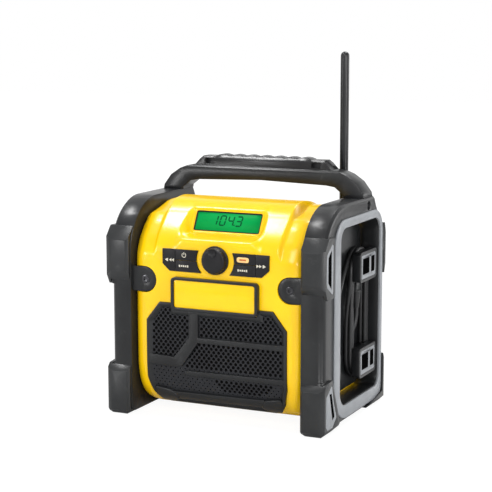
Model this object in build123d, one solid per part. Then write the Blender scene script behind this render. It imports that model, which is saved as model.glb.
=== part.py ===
from build123d import *
import math
import os

# Jobsite radio. X runs across the front, -Y is the front, +Z is up.
# The origin is on the ground at the middle of the footprint. Millimetres.

# Overall size
overall_width = 267.0
overall_depth = 190.0
frame_top = 246.0
handle_rise = 30.0
antenna_length = 176.5

# Side frames and their rubber bumpers
bumper_side_skin = 3.5
bumper_front_skin = 6.0
bumper_rear_skin = 3.0
foot_height = 3.0
frame_width = 26.0
front_post_depth = 47.0
rear_post_depth = 8.0
frame_bottom_rail = 18.5
frame_top_rail = 25.0
frame_shoulder_radius = 62.0
frame_edge = 2.5
bumper_inset = 1.0
inlay_thickness = 3.0
inlay_proud = 1.5
front_rim = 16.0
rim_width = 9.5
rim_foot_width = 15.0
tongue_height = 28.0
tongue_reach = 29.0
tongue_thickness = 4.0
tongue_drop = 89.0
tongue_seat = 5.0
tongue_gap = 0.6
post_round = 9.0
bumper_bevel_side = 8.0
bumper_bevel_depth = 3.0
bumper_edge = 5.0
upper_bumper_drop = 96.0
lower_bumper_height = 60.0
rear_screw_height = 125.0

# Case
wall = 3.0
case_setback = 5.0
case_bottom = 8.0
rear_shell_depth = 36.0
rear_gap = 4.0
side_round = 16.0
hump_shoulder = 27.5
crest_rise = 0.5
brow_drop = 41.5
wing_brow_drop = 18.0
wing_crest_drop = 4.5
part_line_drop = 24.5

# Display
display_half = 40.5
display_height = 24.0
display_tilt = 28.0
display_setback = 32.0
display_rise = 17.5
shelf_half = 58.0

# Keys and knob
key_proud = 2.2
key_depth = 7.0
key_gap = 0.5
key_travel = 1.2
keys_drop = 11.0
keys_height = 24.8
keys_outer = 65.0
key_split = 49.0
key_row_rise = 12.8
knob_rise = 15.1
knob_radius = 15.0
knob_reach = 8.0
shaft_radius = 3.0
running_gap = 0.05
encoder_half = 6.0
mat_clearance = 1.0

# Speakers and grille
speaker_spacing = 84.0
speaker_lift = 1.5
speaker_radius = 34.0
baffle_depth = 16.0
grille_margin = 18.0
grille_lift = 8.0
badge_overlap = 30.0
grille_thickness = 3.0
grille_proud = 1.5
grille_hole_radius = 1.7
grille_pitch = 6.4

# Badge
badge_half = 53.0
badge_height = 37.0
badge_gap = 6.2
badge_depth = 6.0

# Handle
handle_setback = 52.0
handle_depth = 28.0
foot_step = 2.0
foot_overhang = 2.5
bar_thickness = 19.0
grip_half = 87.0
grip_rise = 10.5
grip_bumps = 7
grip_pitch = 17.4
bump_rise = 2.5
pocket_width = 11.5
tenon_depth = 18.0
tenon_half = 6.0
fit_gap = 0.3

# Cord wrap on the right side
plate_thickness = 4.0
neck_radius = 18.0
neck_length = 11.0
cleat_gap = 3.0
upper_neck_drop = 61.0
lower_neck_lift = 42.0
plate_margin = 2.0
plate_corner = 16.0
plate_lift = 3.5
plate_drop = 7.0
head_depth = 54.0
head_height = 34.5
head_thickness = 9.0
cord_diameter = 5.0
cord_layers = 2
strand_gap = 0.3
plug_width = 24.0
plug_thickness = 14.0
plug_body = 28.0
plug_relief = 22.0
plug_gap = 4.0
plug_lift = 26.5
relief_drop = 22.0
relief_length = 20.0
relief_shift = 5.7

# Storage box on the left side
box_front_gap = 12.0
box_rear_gap = 10.0
box_lift = 22.5
box_drop = 31.0
box_depth = 28.0
box_wall = 2.0
door_thickness = 4.0
door_lap = 4.0
door_gap = 0.5
hinge_radius = 3.0
pin_radius = 1.5

# Battery bay on the back
bay_half = 42.0
bay_bottom = 64.0
bay_depth = 24.0
rail_thickness = 4.0

# Antenna
antenna_margin = 17.0
antenna_setback = 10.0
antenna_radius = 5.0
antenna_rise = 11.0

# Screws and boards
screw_radius = 2.0
screw_head_radius = 4.4
screw_head_height = 2.4
screw_clearance = 0.2
board_thickness = 1.6

# Worked out from the sizes above
half_width = overall_width / 2
front = -overall_depth / 2
rear = overall_depth / 2
frame_face = half_width - bumper_side_skin
case_half = frame_face - frame_width
frame_front = front + bumper_front_skin
frame_rear = rear - bumper_rear_skin
opening_front = frame_front + front_post_depth
opening_rear = frame_rear - rear_post_depth
opening_bottom = foot_height + frame_bottom_rail
opening_top = frame_top - frame_top_rail
case_front = frame_front + case_setback
case_rear = frame_rear - rear_gap
round_start = case_half - side_round
part_line = case_rear - rear_shell_depth
hump_half = case_half - hump_shoulder
crest_height = frame_top + crest_rise
hump_brow = crest_height - brow_drop
wing_brow = hump_brow - wing_brow_drop
wing_crest = crest_height - wing_crest_drop
part_line_height = crest_height - part_line_drop
display_middle = (case_front + display_setback, hump_brow + display_rise)
keys_top = hump_brow - keys_drop
keys_bottom = keys_top - keys_height
key_row = keys_bottom + key_row_rise
knob_height = keys_bottom + knob_rise
badge_top = keys_bottom - badge_gap
badge_bottom = badge_top - badge_height
grille_half = case_half - grille_margin
grille_top = badge_top - badge_overlap
grille_bottom = case_bottom + grille_lift
speaker_height = (grille_bottom + grille_top) / 2 + speaker_lift
baffle_plane = case_front + baffle_depth
tongue_centre = frame_top - tongue_drop
tongue_back = case_front + tongue_seat
tongue_front = tongue_back - tongue_thickness
upper_bumper = frame_top - upper_bumper_drop
handle_front = case_rear - handle_setback
foot_outer = frame_face - foot_step
foot_inner = case_half - foot_overhang
handle_middle = handle_front + handle_depth / 2
handle_rear = handle_front + handle_depth
handle_top = frame_top + handle_rise
bar_bottom = handle_top - bar_thickness
plate_face = case_half + plate_thickness
head_face = plate_face + neck_length
cleat_centre = opening_rear - cleat_gap - head_depth / 2
upper_neck = opening_top - upper_neck_drop
lower_neck = opening_bottom + lower_neck_lift
winding_gap = 0.2
winding_radius = neck_radius + winding_gap + cord_layers * cord_diameter
plug_middle = plate_face + strand_gap + plug_thickness / 2
plug_centre = opening_front + plug_gap + plug_width / 2
plug_bottom = opening_bottom + plug_lift
relief_top = upper_neck - relief_drop
relief_back = cleat_centre - relief_shift
box_front = opening_front + box_front_gap
box_rear = part_line - box_rear_gap
box_bottom = opening_bottom + box_lift
box_top = opening_top - box_drop
antenna_across = case_half - antenna_margin
antenna_back = case_rear - antenna_setback
antenna_pivot = part_line_height + antenna_rise
inner_face = case_front + wall


def block(x0, x1, y0, y1, z0, z1):
    """Box between two corners."""
    middle = ((x0 + x1) / 2, (y0 + y1) / 2, (z0 + z1) / 2)
    return Pos(*middle) * Box(abs(x1 - x0), abs(y1 - y0), abs(z1 - z0))


def rounded_wire(points, radius):
    return FilletPolyline(*points, radius=radius, close=True)


def yz_prism(points, x0, x1, radius=0.0):
    """Outline of (y, z) points, carried from x0 to x1."""
    face = make_face(rounded_wire([(x0, y, z) for y, z in points], radius))
    return extrude(face, amount=x1 - x0, dir=(1, 0, 0))


def xz_prism(points, y0, y1, radius=0.0):
    """Outline of (x, z) points, carried from y0 to y1."""
    face = make_face(rounded_wire([(x, y0, z) for x, z in points], radius))
    return extrude(face, amount=y1 - y0, dir=(0, 1, 0))


def xy_prism(points, z0, z1, radius=0.0):
    """Outline of (x, y) points, carried from z0 to z1."""
    face = make_face(rounded_wire([(x, y, z0) for x, y in points], radius))
    return extrude(face, amount=z1 - z0, dir=(0, 0, 1))


def both_sides(half):
    """Closed outline from its right half, listed from bottom to top."""
    return half + [(-x, z) for x, z in reversed(half)]


def rod_y(x, z, radius, y0, y1):
    return Pos(x, (y0 + y1) / 2, z) * Rot(90, 0, 0) * Cylinder(radius, abs(y1 - y0))


def rod_x(y, z, radius, x0, x1):
    return Pos((x0 + x1) / 2, y, z) * Rot(0, 90, 0) * Cylinder(radius, abs(x1 - x0))


def cone_y(x, z, front_radius, rear_radius, y0, y1):
    """Cone frustum along Y, front_radius at y0 and rear_radius at y1."""
    return Pos(x, (y0 + y1) / 2, z) * Rot(-90, 0, 0) * Cone(front_radius, rear_radius, y1 - y0)


def inset(points, distance):
    """Closed outline moved inwards by distance, its points listed counter-clockwise."""
    count = len(points)
    moved = []
    for i in range(count):
        (ax, ay), (bx, by), (cx, cy) = points[i - 1], points[i], points[(i + 1) % count]
        first = math.atan2(by - ay, bx - ax)
        second = math.atan2(cy - by, cx - bx)
        half_turn = (second - first) / 2
        across = first + half_turn + math.pi / 2
        reach = distance / math.cos(half_turn)
        moved.append((bx + reach * math.cos(across), by + reach * math.sin(across)))
    return moved


def mirrored(part):
    return mirror(part, about=Plane.YZ)


def screw_y(x, z, head_y, length):
    """Screw along Y with its head towards the front at head_y."""
    head = rod_y(x, z, screw_head_radius, head_y, head_y + screw_head_height)
    socket = rod_y(x, z, screw_radius, head_y - 1, head_y + screw_head_height / 2)
    return head - socket + rod_y(x, z, screw_radius, head_y + screw_head_height, head_y + length)


# ---------------------------------------------------------------- case shells

def belly():
    """Lower front of the case, (y, z) from the underside up to the flat face."""
    return [(case_front + 44, case_bottom), (case_front + 30, case_bottom + 3),
            (case_front + 17, case_bottom + 10.5), (case_front + 7.5, case_bottom + 22),
            (case_front + 2, case_bottom + 36), (case_front, case_bottom + 54)]


def wing_profile():
    slope = [(case_front, wing_brow), (case_front + 9, wing_brow + 18),
             (case_front + 22, wing_brow + 33), (case_front + 34, wing_brow + 42.5),
             (case_front + 60, wing_brow + 47.5), (case_front + 80, wing_crest),
             (part_line - 32, wing_crest - 2.5), (part_line, part_line_height)]
    return belly() + slope + [(part_line, case_bottom)]


def hump_profile():
    slope = [(case_front, hump_brow), (case_front + 37, crest_height - 10),
             (case_front + 48, crest_height - 2.5), (case_front + 76, crest_height),
             (part_line - 32, crest_height - 5), (part_line, part_line_height)]
    return belly() + slope + [(part_line, case_bottom)]


def elevation():
    """Outline of the case from the front, (x, z)."""
    half = [(case_half - 9, case_bottom), (case_half, case_bottom + 12),
            (case_half, wing_crest - 14), (case_half - 4, wing_crest - 6),
            (case_half - 13, wing_crest), (hump_half - 4, crest_height)]
    return both_sides(half)


def plan(y_front, y_back, corner):
    """Outline of the case from above, (x, y), with its y_front corners cut back."""
    away = corner if y_back > y_front else -corner
    half = [(round_start, y_front), (case_half - 5, y_front + away * 0.32),
            (case_half, y_front + away), (case_half, y_back)]
    points = half + [(-x, y) for x, y in reversed(half)]
    return points if y_back > y_front else turned(points)


def turned(points):
    """The same outline the other way round, for the counter-clockwise rule of inset."""
    return list(reversed(points))


def open_at_part_line(points, distance, side):
    """Inset outline whose part line edge runs 1 mm past the joint."""
    moved = turned(inset(turned(points), distance)) if side > 0 else inset(points, distance)
    return [(part_line + side, z) if abs(y - part_line) < distance + 0.01 else (y, z)
            for y, z in moved]


def rolled(profile, outline, distance, side):
    """Case volume where a side profile, a plan and the elevation meet."""
    front_view = elevation()
    if distance:
        profile = open_at_part_line(profile, distance, side)
        front_view = inset(front_view, distance)
        outline = inset(outline, distance)
    solid = yz_prism(profile, -case_half, case_half)
    solid &= xz_prism(front_view, front, rear)
    return solid & xy_prism(outline, 0, frame_top + 10)


def front_form(distance=0.0):
    outline = plan(case_front, part_line + 4, side_round)
    form = rolled(wing_profile(), outline, distance, 1)
    hump = rolled(hump_profile(), outline, distance, 1)
    core = hump_half - distance
    return form + (hump & block(-core, core, front, rear, 0, frame_top + 10))


def display_recess(grow=0.0):
    """Scoop that the display sits at the back of."""
    y, z = display_middle
    rise = math.radians(display_tilt)
    half = display_height / 2 + 1.5
    low = (y - half * math.sin(rise), z - half * math.cos(rise))
    high = (y + half * math.sin(rise), z + half * math.cos(rise))
    outline = [(front, low[1] - 1), low, high, (high[0] - 1.5, high[1] + 3),
               (high[0] - 14, high[1] + 11), (front, high[1] + 11)]
    plan = [(-shelf_half, front), (shelf_half, front), (shelf_half, case_front),
            (display_half + 2.5, high[0] - 1), (display_half + 2.5, high[0] + 4),
            (-display_half - 2.5, high[0] + 4), (-display_half - 2.5, high[0] - 1),
            (-shelf_half, case_front)]
    if grow:
        outline = inset(outline, -grow)
        plan = inset(plan, -grow)
    depth = yz_prism(outline, -shelf_half - grow, shelf_half + grow)
    return depth & xy_prism(plan, hump_brow - 10, crest_height + 20)


def display_plane(behind=0.0):
    """Plane of the display, moved back into the case by behind."""
    y, z = display_middle
    rise = math.radians(display_tilt)
    origin = (0, y + behind * math.cos(rise), z - behind * math.sin(rise))
    normal = (0, -math.cos(rise), math.sin(rise))
    return Plane(origin=origin, x_dir=(1, 0, 0), z_dir=normal)


def key_field(side, grow=0.0):
    """Outline of one cluster of keys, hollowed beside the knob."""
    bottom, top = keys_bottom - grow, keys_top + grow
    outer = keys_outer + grow
    points = [(side * (shaft_radius * 5), bottom), (side * (outer - 9), bottom),
              (side * outer, bottom + 8), (side * outer, top), (side * (shaft_radius * 5), top)]
    field = xz_prism(points, case_front - key_proud, case_front - key_proud + key_depth)
    knob_room = knob_radius + 8 - grow
    return field - rod_y(0, knob_height, knob_room, front, baffle_plane)


def grille_outline(shrink=0.0):
    notch = badge_half + 1 + shrink
    low = badge_bottom - 0.5 - shrink
    half = [(grille_half - 20 - shrink, grille_bottom + shrink),
            (grille_half - 4 - shrink, grille_bottom + 12),
            (grille_half - shrink, grille_bottom + 34), (grille_half - shrink, grille_top - 20),
            (grille_half - 16 - shrink, grille_top - shrink), (notch, grille_top - shrink),
            (notch, low)]
    return both_sides(half)


def belly_band(outer, inner):
    """Layer that follows the front of the case, from outer to inner millimetres deep."""
    def layer(distance):
        points = wing_profile()
        return turned(inset(turned(points), distance)) if distance else points
    top = grille_top + 5
    solid = yz_prism(layer(outer), -case_half, case_half) - yz_prism(layer(inner), -case_half,
                                                                     case_half)
    return solid & block(-case_half, case_half, front - 5, case_front + 52, 0, top)


def screw_posts():
    return [(side * (case_half - 12), z) for side in (-1, 1)
            for z in (case_bottom + 17, part_line_height - 22)]


def front_case():
    shell = (front_form() - display_recess()) - (front_form(wall) - display_recess(wall))
    seat = xz_prism(grille_outline(-fit_gap), front - 5, case_front + 52)
    shell -= seat & belly_band(-grille_proud - 1, grille_thickness - grille_proud)
    for side in (-1, 1):
        x = side * speaker_spacing / 2
        tube = rod_y(x, speaker_height, speaker_radius + 4, front, baffle_plane)
        backed = front_form(grille_thickness - grille_proud)
        shell += tube & backed
        shell -= rod_y(x, speaker_height, speaker_radius, front - 5, baffle_plane + 5)
        shell -= key_field(side, key_gap)
        shell += tongue_form(side, wall, case_front, tongue_back + wall) & front_form()
        shell -= tongue_form(side, tongue_gap, front, tongue_back)
        shell -= rod_y(side * tongue_screw_x(), tongue_centre, screw_radius, front,
                       tongue_back + wall + 1)
        post_y = inner_face + 6
        for z in (keys_bottom - 5, keys_top + 4):
            shell += rod_y(side * (keys_outer - 3), z, 2.2, inner_face - 0.5, post_y)
    for x, z in screw_posts():
        reach = math.copysign(case_half - 1, x)
        boss = block(x - math.copysign(5, x), reach, part_line - 10, part_line, z - 5, z + 5)
        shell += boss & front_form()
        shell -= rod_y(x, z, screw_radius, part_line - 10, part_line + 1)
    shell -= rod_y(0, knob_height, shaft_radius + 2, front, inner_face + 1)
    window = extrude(display_plane(-1) * Rectangle(2 * display_half, display_height), amount=-20)
    shell -= window & block(-shelf_half, shelf_half, case_front + 14, case_front + 54,
                            hump_brow - 10, crest_height)
    shell -= block(-case_half - 5, -case_half + box_depth, box_front - box_wall,
                   box_rear + box_wall, box_bottom - box_wall, box_top + box_wall)
    shell -= hinge_rail()
    shell -= rod_x(jack_place()[0], jack_place()[1], jack_radius(), -case_half - 5,
                   -case_half + wall + 5)
    return shell


def rear_form(distance=0.0):
    profile = [(part_line, case_bottom), (case_rear - 6, case_bottom),
               (case_rear, case_bottom + 8), (case_rear, part_line_height - 16),
               (case_rear - 4, part_line_height - 9), (part_line, part_line_height)]
    return rolled(profile, plan(case_rear, part_line - 4, 8.0), distance, -1)


def battery_bay(grow=0.0):
    return block(-bay_half - grow, bay_half + grow, case_rear - bay_depth - grow, rear,
                 bay_bottom - grow, part_line_height + 10)


def rear_case():
    shell = (rear_form() - battery_bay()) - (rear_form(wall) - battery_bay(wall))
    for x, z in screw_posts():
        post = rod_y(x, z, 5, part_line, case_rear) & rear_form()
        shell += post
        shell -= rod_y(x, z, screw_radius + screw_clearance, part_line - 1, rear)
        shell -= rod_y(x, z, screw_head_radius + screw_clearance, case_rear - 6, rear)
    bay_front = case_rear - bay_depth - wall
    for side in (-1, 1):
        for z in (bay_bottom + 22, bay_bottom + 100):
            shell += rod_y(side * (bay_half - 8), z, 3, board_plane() + board_thickness,
                           bay_front + 0.5)
        shell -= rod_y(side * (case_half - 12), rear_screw_height, screw_radius, case_rear - 12,
                       rear)
    return shell + antenna_seat()


def antenna_seat():
    """Raised pad on the back edge that the antenna base stands on."""
    pad = block(antenna_across - 10, antenna_across + 10, antenna_back - 7, antenna_back + 7,
                part_line_height - 13, antenna_pivot - 16)
    return pad - rear_form(wall)


def board_plane():
    return part_line - 8


def jack_place():
    return (box_front + 15, box_top + 14)


def jack_radius():
    return 5.0


def tongue_screw_x():
    return case_half - tongue_reach + tongue_height / 2 - 0.5


def tongue_form(side, grow, y0, y1):
    """Round-ended tongue that reaches in from the frame on one side, grown all round."""
    radius = tongue_height / 2 + grow
    tip = side * (case_half - tongue_reach + tongue_height / 2)
    root = side * (case_half + 1)
    x0, x1 = sorted((tip, root))
    bar = block(x0, x1, y0, y1, tongue_centre - radius, tongue_centre + radius)
    return bar + rod_y(tip, tongue_centre, radius, y0, y1)


# ---------------------------------------------------------------- side frames

def frame_outline():
    return [(frame_front, foot_height), (frame_front, frame_top), (handle_rear + 2, frame_top),
            (handle_rear + 8, frame_top - 10), (frame_rear - 12, frame_top - 20),
            (frame_rear, frame_top - 42), (frame_rear, foot_height)]


def frame_blank():
    radii = [8, frame_shoulder_radius, 0, 8, 12, 12, 8]
    return yz_prism(frame_outline(), case_half, frame_face, radii)


def loop_outline():
    return [(opening_front, opening_bottom), (opening_front, opening_top),
            (opening_rear, opening_top), (opening_rear, opening_bottom)]


def rim_outline():
    return [(opening_front - front_rim, opening_bottom - rim_foot_width),
            (opening_front - front_rim, opening_top + rim_width),
            (opening_rear + rear_post_depth - 1, opening_top + rim_width),
            (opening_rear + rear_post_depth - 1, opening_bottom - rim_foot_width)]


def rim_inlay():
    x0 = frame_face + inlay_proud - inlay_thickness
    x1 = frame_face + inlay_proud
    rim = yz_prism(rim_outline(), x0, x1, [38, 28, 28, 14])
    return rim - yz_prism(loop_outline(), x0 - 1, x1 + 1, [18, 15, 18, 14])


def tenon(grow=0.0):
    middle = (case_half + frame_face) / 2
    return block(middle - tenon_half - grow, middle + tenon_half + grow,
                 handle_front + 5 - grow, handle_rear - 5 + grow,
                 frame_top - tenon_depth - grow, frame_top + 1)


def handle_screw_place():
    return (handle_middle - 4, frame_top - tenon_depth / 2)


def rear_lug():
    """Lug that reaches over the back of the case for the rear frame screw."""
    z = rear_screw_height
    lug = block(case_half - 22, case_half + 1, case_rear, case_rear + 3.5, z - 14, z + 14)
    return lug - rod_y(case_half - 12, z, screw_radius + screw_clearance, part_line, rear + 5)


def post_rounding():
    """Waste off the outer front corner of the post, between its two bumpers."""
    x, y = frame_face - post_round, frame_front + post_round
    height = upper_bumper - lower_bumper_height
    corner = block(x, frame_face + 1, frame_front - 1, y, lower_bumper_height, upper_bumper)
    middle = Pos(x, y, lower_bumper_height + height / 2)
    return corner - middle * Cylinder(post_round, height + 2)


def side_frame():
    frame = frame_blank()
    rim_edges = frame.faces().sort_by(Axis.X)[-1].outer_wire().edges()
    frame = chamfer(rim_edges, frame_edge)
    frame -= yz_prism(loop_outline(), case_half - 5, frame_face + 5, [18, 15, 18, 14])
    frame -= rim_inlay() + post_rounding()
    frame += tongue_form(1, 0, tongue_front, tongue_back)
    x = tongue_screw_x()
    frame -= rod_y(x, tongue_centre, screw_radius + screw_clearance, front, tongue_back + 1)
    frame -= rod_y(x, tongue_centre, screw_head_radius + screw_clearance, front,
                   tongue_front + screw_head_height)
    frame -= tenon(fit_gap)
    y, z = handle_screw_place()
    frame -= rod_x(y, z, screw_radius + screw_clearance, case_half + 6, frame_face + 5)
    frame -= rod_x(y, z, screw_head_radius + 1, frame_face - 4, frame_face + 5)
    return frame + rear_lug()


def bumper_outline(name):
    """Outlines of the four kinds of bumper, (y, z)."""
    top, z = lower_bumper_height, upper_bumper
    low = {"lower": [(front + bumper_edge, 0), (front, bumper_edge), (front, top - 10),
                     (front + 7, top - 2), (front + 25, top), (front + 34, top - 20),
                     (front + 43, top - 40), (front + 48, 7), (front + 35, 0)],
           "upper": [(front, z + 16), (front, z + 51), (front + 13, z + 66), (front + 29, z + 66),
                     (front + 29, z), (front + 9, z)]}
    back = {"lower": [(rear - 46, 0), (rear - 46, foot_height + 1), (frame_rear - 1, 12),
                      (frame_rear - 1, top - 2), (rear, top - 8), (rear, 0)],
            "upper": [(frame_rear - 1, z + 2), (frame_rear - 1, z + 64), (rear, z + 52),
                      (rear, z + 14)]}
    place, level = name.split("_")
    return (low if place == "front" else back)[level]


def bumper_plan(inner):
    """Outline of the front bumpers from above, (x, y), with its two front corners bevelled."""
    back = opening_front + 10
    return [(inner, back), (inner, front + 3), (inner + 3, front),
            (half_width - bumper_bevel_side, front), (half_width, front + bumper_bevel_depth),
            (half_width, back)]


def bumper_elevation(inner):
    """Outline of the bumpers from the front, (x, z), with both bottom corners cut."""
    return [(inner + bumper_edge, 0), (half_width - bumper_edge, 0), (half_width, bumper_edge),
            (half_width, frame_top), (inner, frame_top), (inner, bumper_edge)]


def bumper(name):
    inner = case_half + bumper_inset
    solid = yz_prism(bumper_outline(name), inner, half_width)
    if name.startswith("front"):
        solid &= xy_prism(bumper_plan(inner), 0, frame_top)
    if name.endswith("lower"):
        solid &= xz_prism(bumper_elevation(inner), front, rear)
    solid -= frame_blank() + rim_inlay()
    solid -= block(0, half_width + 5, frame_rear - 5, frame_rear - 0.5, 20, frame_top)
    if name.startswith("front"):
        solid -= bumper_inlay(name)
    return solid.solids().sort_by(SortBy.VOLUME)[-1]


def bumper_inlay(name):
    x0 = half_width - 1.5
    if name == "front_upper":
        z = upper_bumper
        outer = [(front + 25, z + 61), (front + 8, z + 50), (front + 6, z + 44),
                 (front + 6, z + 20), (front + 8, z + 14), (front + 25, z + 3)]
        plate = yz_prism(outer, x0, half_width, 2.5)
        return plate - yz_prism([(front + 20, z + 54), (front + 10.5, z + 46), (front + 10.5, z + 19),
                                 (front + 20, z + 10)], x0 - 1, half_width + 1, 2.0)
    top = lower_bumper_height
    outer = [(front + 24, top - 5), (front + 8, top - 16), (front + 7, 12), (front + 12, 7),
             (front + 26, 7), (front + 38, 16), (front + 29, top - 24)]
    plate = yz_prism(outer, x0, half_width, 2.0)
    slot = yz_prism([(front + 17, top - 14), (front + 23, top - 14), (front + 32, 18),
                     (front + 26, 15)], x0 - 1, half_width + 1, 1.0)
    return plate - slot


# ---------------------------------------------------------------- handle

def handle_bar():
    half = [(foot_outer, frame_top), (foot_outer - 1, frame_top + 5),
            (foot_outer - 10, frame_top + 17), (foot_outer - 22, handle_top - 5),
            (foot_outer - 31, handle_top - 1.5), (grip_half + 1, handle_top)]
    inside = [(foot_inner, frame_top), (foot_inner, frame_top + 3),
              (foot_inner - 10, bar_bottom), (foot_inner - 20, bar_bottom + 1.5),
              (0, bar_bottom + 4)]
    outer = half + [(-x, z) for x, z in reversed(half)]
    inner = [(-x, z) for x, z in inside[:-1]] + [inside[-1]] + list(reversed(inside[:-1]))
    bar = xz_prism(outer + inner, handle_front, handle_rear)
    bar &= yz_prism([(handle_front, frame_top), (handle_front, handle_top - 3),
                     (handle_front + 3, handle_top), (handle_rear - 3, handle_top),
                     (handle_rear, handle_top - 3), (handle_rear, frame_top)],
                    -half_width, half_width)
    for side in (1, -1):
        peg = tenon() if side == 1 else mirrored(tenon())
        y, z = handle_screw_place()
        hole = rod_x(y, z, screw_radius, -half_width, half_width)
        bar += peg & block(-half_width, half_width, front, rear, 0, frame_top + 0.5)
        bar -= hole
    return bar


def handle_grip():
    """Raised grip with a row of finger bumps, standing on the bar."""
    top = handle_top + grip_rise
    shoulder = grip_half - 10
    bumps_end = grip_pitch * grip_bumps / 2
    shape = Polyline((-grip_half, handle_top), (-shoulder, top), (-bumps_end, top))
    for i in range(grip_bumps):
        x = i * grip_pitch - bumps_end
        shape += ThreePointArc((x, top), (x + grip_pitch / 2, top + bump_rise),
                               (x + grip_pitch, top))
    shape += Polyline((bumps_end, top), (shoulder, top), (grip_half, handle_top),
                      (-grip_half, handle_top))
    outline = Plane.XZ * make_face(shape)
    y0, y1 = handle_front + 3, handle_rear - 3
    grip = extrude(Pos(0, y0, 0) * outline, amount=y1 - y0, dir=(0, 1, 0))
    crown = top + bump_rise
    grip &= yz_prism([(y0, handle_top), (y0, crown - 6), (y0 + 5, crown), (y1 - 5, crown),
                      (y1, crown - 6), (y1, handle_top)], -grip_half, grip_half)
    for side in (-1, 1):
        near = side * (bumps_end + 1)
        grip -= block(near, near + side * pocket_width, handle_front, handle_front + 9,
                      handle_top + 1.5, top - 2.5)
    return grip


def handle_screws():
    y, z = handle_screw_place()
    screws = []
    for side in (-1, 1):
        head = rod_x(y, z, screw_head_radius, side * (frame_face - 4),
                     side * (frame_face - 4 + screw_head_height))
        shank = rod_x(y, z, screw_radius, side * (frame_face - 4), side * (case_half + 7))
        screws.append(head + shank)
    return Compound(children=[s.solid() for s in screws])


# ---------------------------------------------------------------- front fittings

def badge_frame():
    outline = [(badge_half, badge_bottom), (badge_half, badge_top),
               (-badge_half, badge_top), (-badge_half, badge_bottom)]
    frame = xz_prism(outline, case_front - badge_depth, case_front, 5.0)
    recess = [(badge_half - 3.5, badge_bottom + 3), (badge_half - 3.5, badge_top - 3),
              (-badge_half + 3.5, badge_top - 3), (-badge_half + 3.5, badge_bottom + 3)]
    return frame - xz_prism(recess, case_front - badge_depth - 1, case_front - 2, 2.5)


def badge_plate():
    edge = 3.5
    outline = [(badge_half - edge, badge_bottom + 3), (badge_half - edge, badge_top - 3),
               (-badge_half + edge, badge_top - 3), (-badge_half + edge, badge_bottom + 3)]
    return xz_prism(outline, case_front - badge_depth + 1.5, case_front - 2, 2.5)


def grille_rib_field():
    """Upright rib that leans out to the left at its foot, and three level ones."""
    left, right = -32.5, -21.5
    low_left, low_right = left - 19, left - 8.5
    elbow = badge_bottom - 30
    rib = [(left, badge_bottom), (left, elbow), (low_left, elbow - 24), (low_right, elbow - 34),
           (right, elbow - 6), (right, badge_bottom)]
    levels = [(-grille_half, low_right, elbow - 35, elbow - 23), (right, grille_half, elbow - 6,
              elbow), (low_right - 4, grille_half, elbow - 44, elbow - 38)]
    depth = (front - 5, case_front - 2.4)
    field = xz_prism(rib, *depth)
    for x0, x1, z0, z1 in levels:
        field += block(x0, x1, *depth, z0, z1)
    return field


def speaker_grille():
    outline = grille_outline()
    holes = []
    rows = int((badge_bottom - grille_bottom) / (grille_pitch * 1.14))
    columns = int(2 * grille_half / (grille_pitch * 2))
    for row in range(1, rows):
        z = grille_bottom + row * grille_pitch * 1.14
        shift = grille_pitch * (row % 2)
        for column in range(1, columns):
            x = -grille_half + column * grille_pitch * 2 + shift
            if abs(x) < grille_half - 10 - max(0, 34 + grille_bottom - z) * 0.6:
                holes.append(Wire.make_circle(grille_hole_radius * 1.5,
                                              Plane(origin=(x, front - 5, z), z_dir=(0, 1, 0))))
    edge = Wire.make_polygon([(x, front - 5, z) for x, z in outline], close=True)
    sieve = extrude(Face(edge, holes), amount=70, dir=(0, 1, 0))
    skin = belly_band(-grille_proud, grille_thickness - grille_proud) & sieve
    rim = xz_prism(outline, front - 5, case_front + 52)
    rim -= xz_prism(grille_outline(3.0), front - 6, case_front + 53)
    skin += rim & belly_band(-grille_proud - 0.9, grille_thickness - grille_proud)
    field = grille_rib_field() & xz_prism(outline, front - 5, case_front)
    return skin + (field & belly_band(-grille_proud - 0.9, grille_thickness - grille_proud))


def key(side, column, row):
    """One key cap, cut out of its cluster."""
    cap = key_field(side)
    half = key_gap / 2
    if column == "outer":
        cell = (key_split + half, keys_outer + 1, keys_bottom - 1, keys_top + 1)
    else:
        low, high = (key_row + half, keys_top + 1) if row == "upper" else (keys_bottom - 1,
                                                                           key_row - half)
        cell = (0, key_split - half, low, high)
    x0, x1, z0, z1 = cell
    cap &= block(side * x0, side * x1, front - 5, baffle_plane, z0, z1)
    return cap


def tuning_knob():
    back = case_front - 0.4
    knob = cone_y(0, knob_height, knob_radius - 1, knob_radius, back - knob_reach, back - 2)
    knob += rod_y(0, knob_height, knob_radius + 1, back - 2, back)
    knob -= Pos(0, back - knob_reach - 4.5, knob_height + 8.8) * Sphere(7.1)
    return knob - rod_y(0, knob_height, shaft_radius, back - knob_reach + 2, back + 1)


def encoder_shaft():
    back = case_front - 0.4
    return rod_y(0, knob_height, shaft_radius, back - knob_reach + 2, control_board_front() - 0.5)


def rotary_encoder():
    body = block(-encoder_half, encoder_half, inner_face, control_board_front(),
                 knob_height - encoder_half, knob_height + encoder_half)
    body += rod_y(0, knob_height, shaft_radius + 2, case_front, inner_face)
    bore = shaft_radius + running_gap
    return body - rod_y(0, knob_height, bore, case_front - 1, control_board_front() + 1)


def control_board_front():
    return inner_face + 6


def control_board():
    y = control_board_front()
    return block(-keys_outer - 1, keys_outer + 1, y, y + board_thickness, keys_bottom - 8,
                 keys_top + 6)


def key_mat():
    """Silicone mat between the keys and their board, with room for the key travel."""
    y = case_front - key_proud + key_depth + key_travel + 0.3
    mat = block(-keys_outer, keys_outer, y, y + 1.2, keys_bottom - 1, keys_top + 1)
    hole = encoder_half + mat_clearance
    return mat - block(-hole, hole, y - 1, y + 3, knob_height - hole, knob_height + hole)


def lcd_window():
    return extrude(display_plane() * Rectangle(2 * display_half, display_height), amount=-wall)


def lcd_module():
    face = display_plane(wall) * Rectangle(2 * display_half + 6, display_height + 3)
    return extrude(face, amount=-6)


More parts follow.
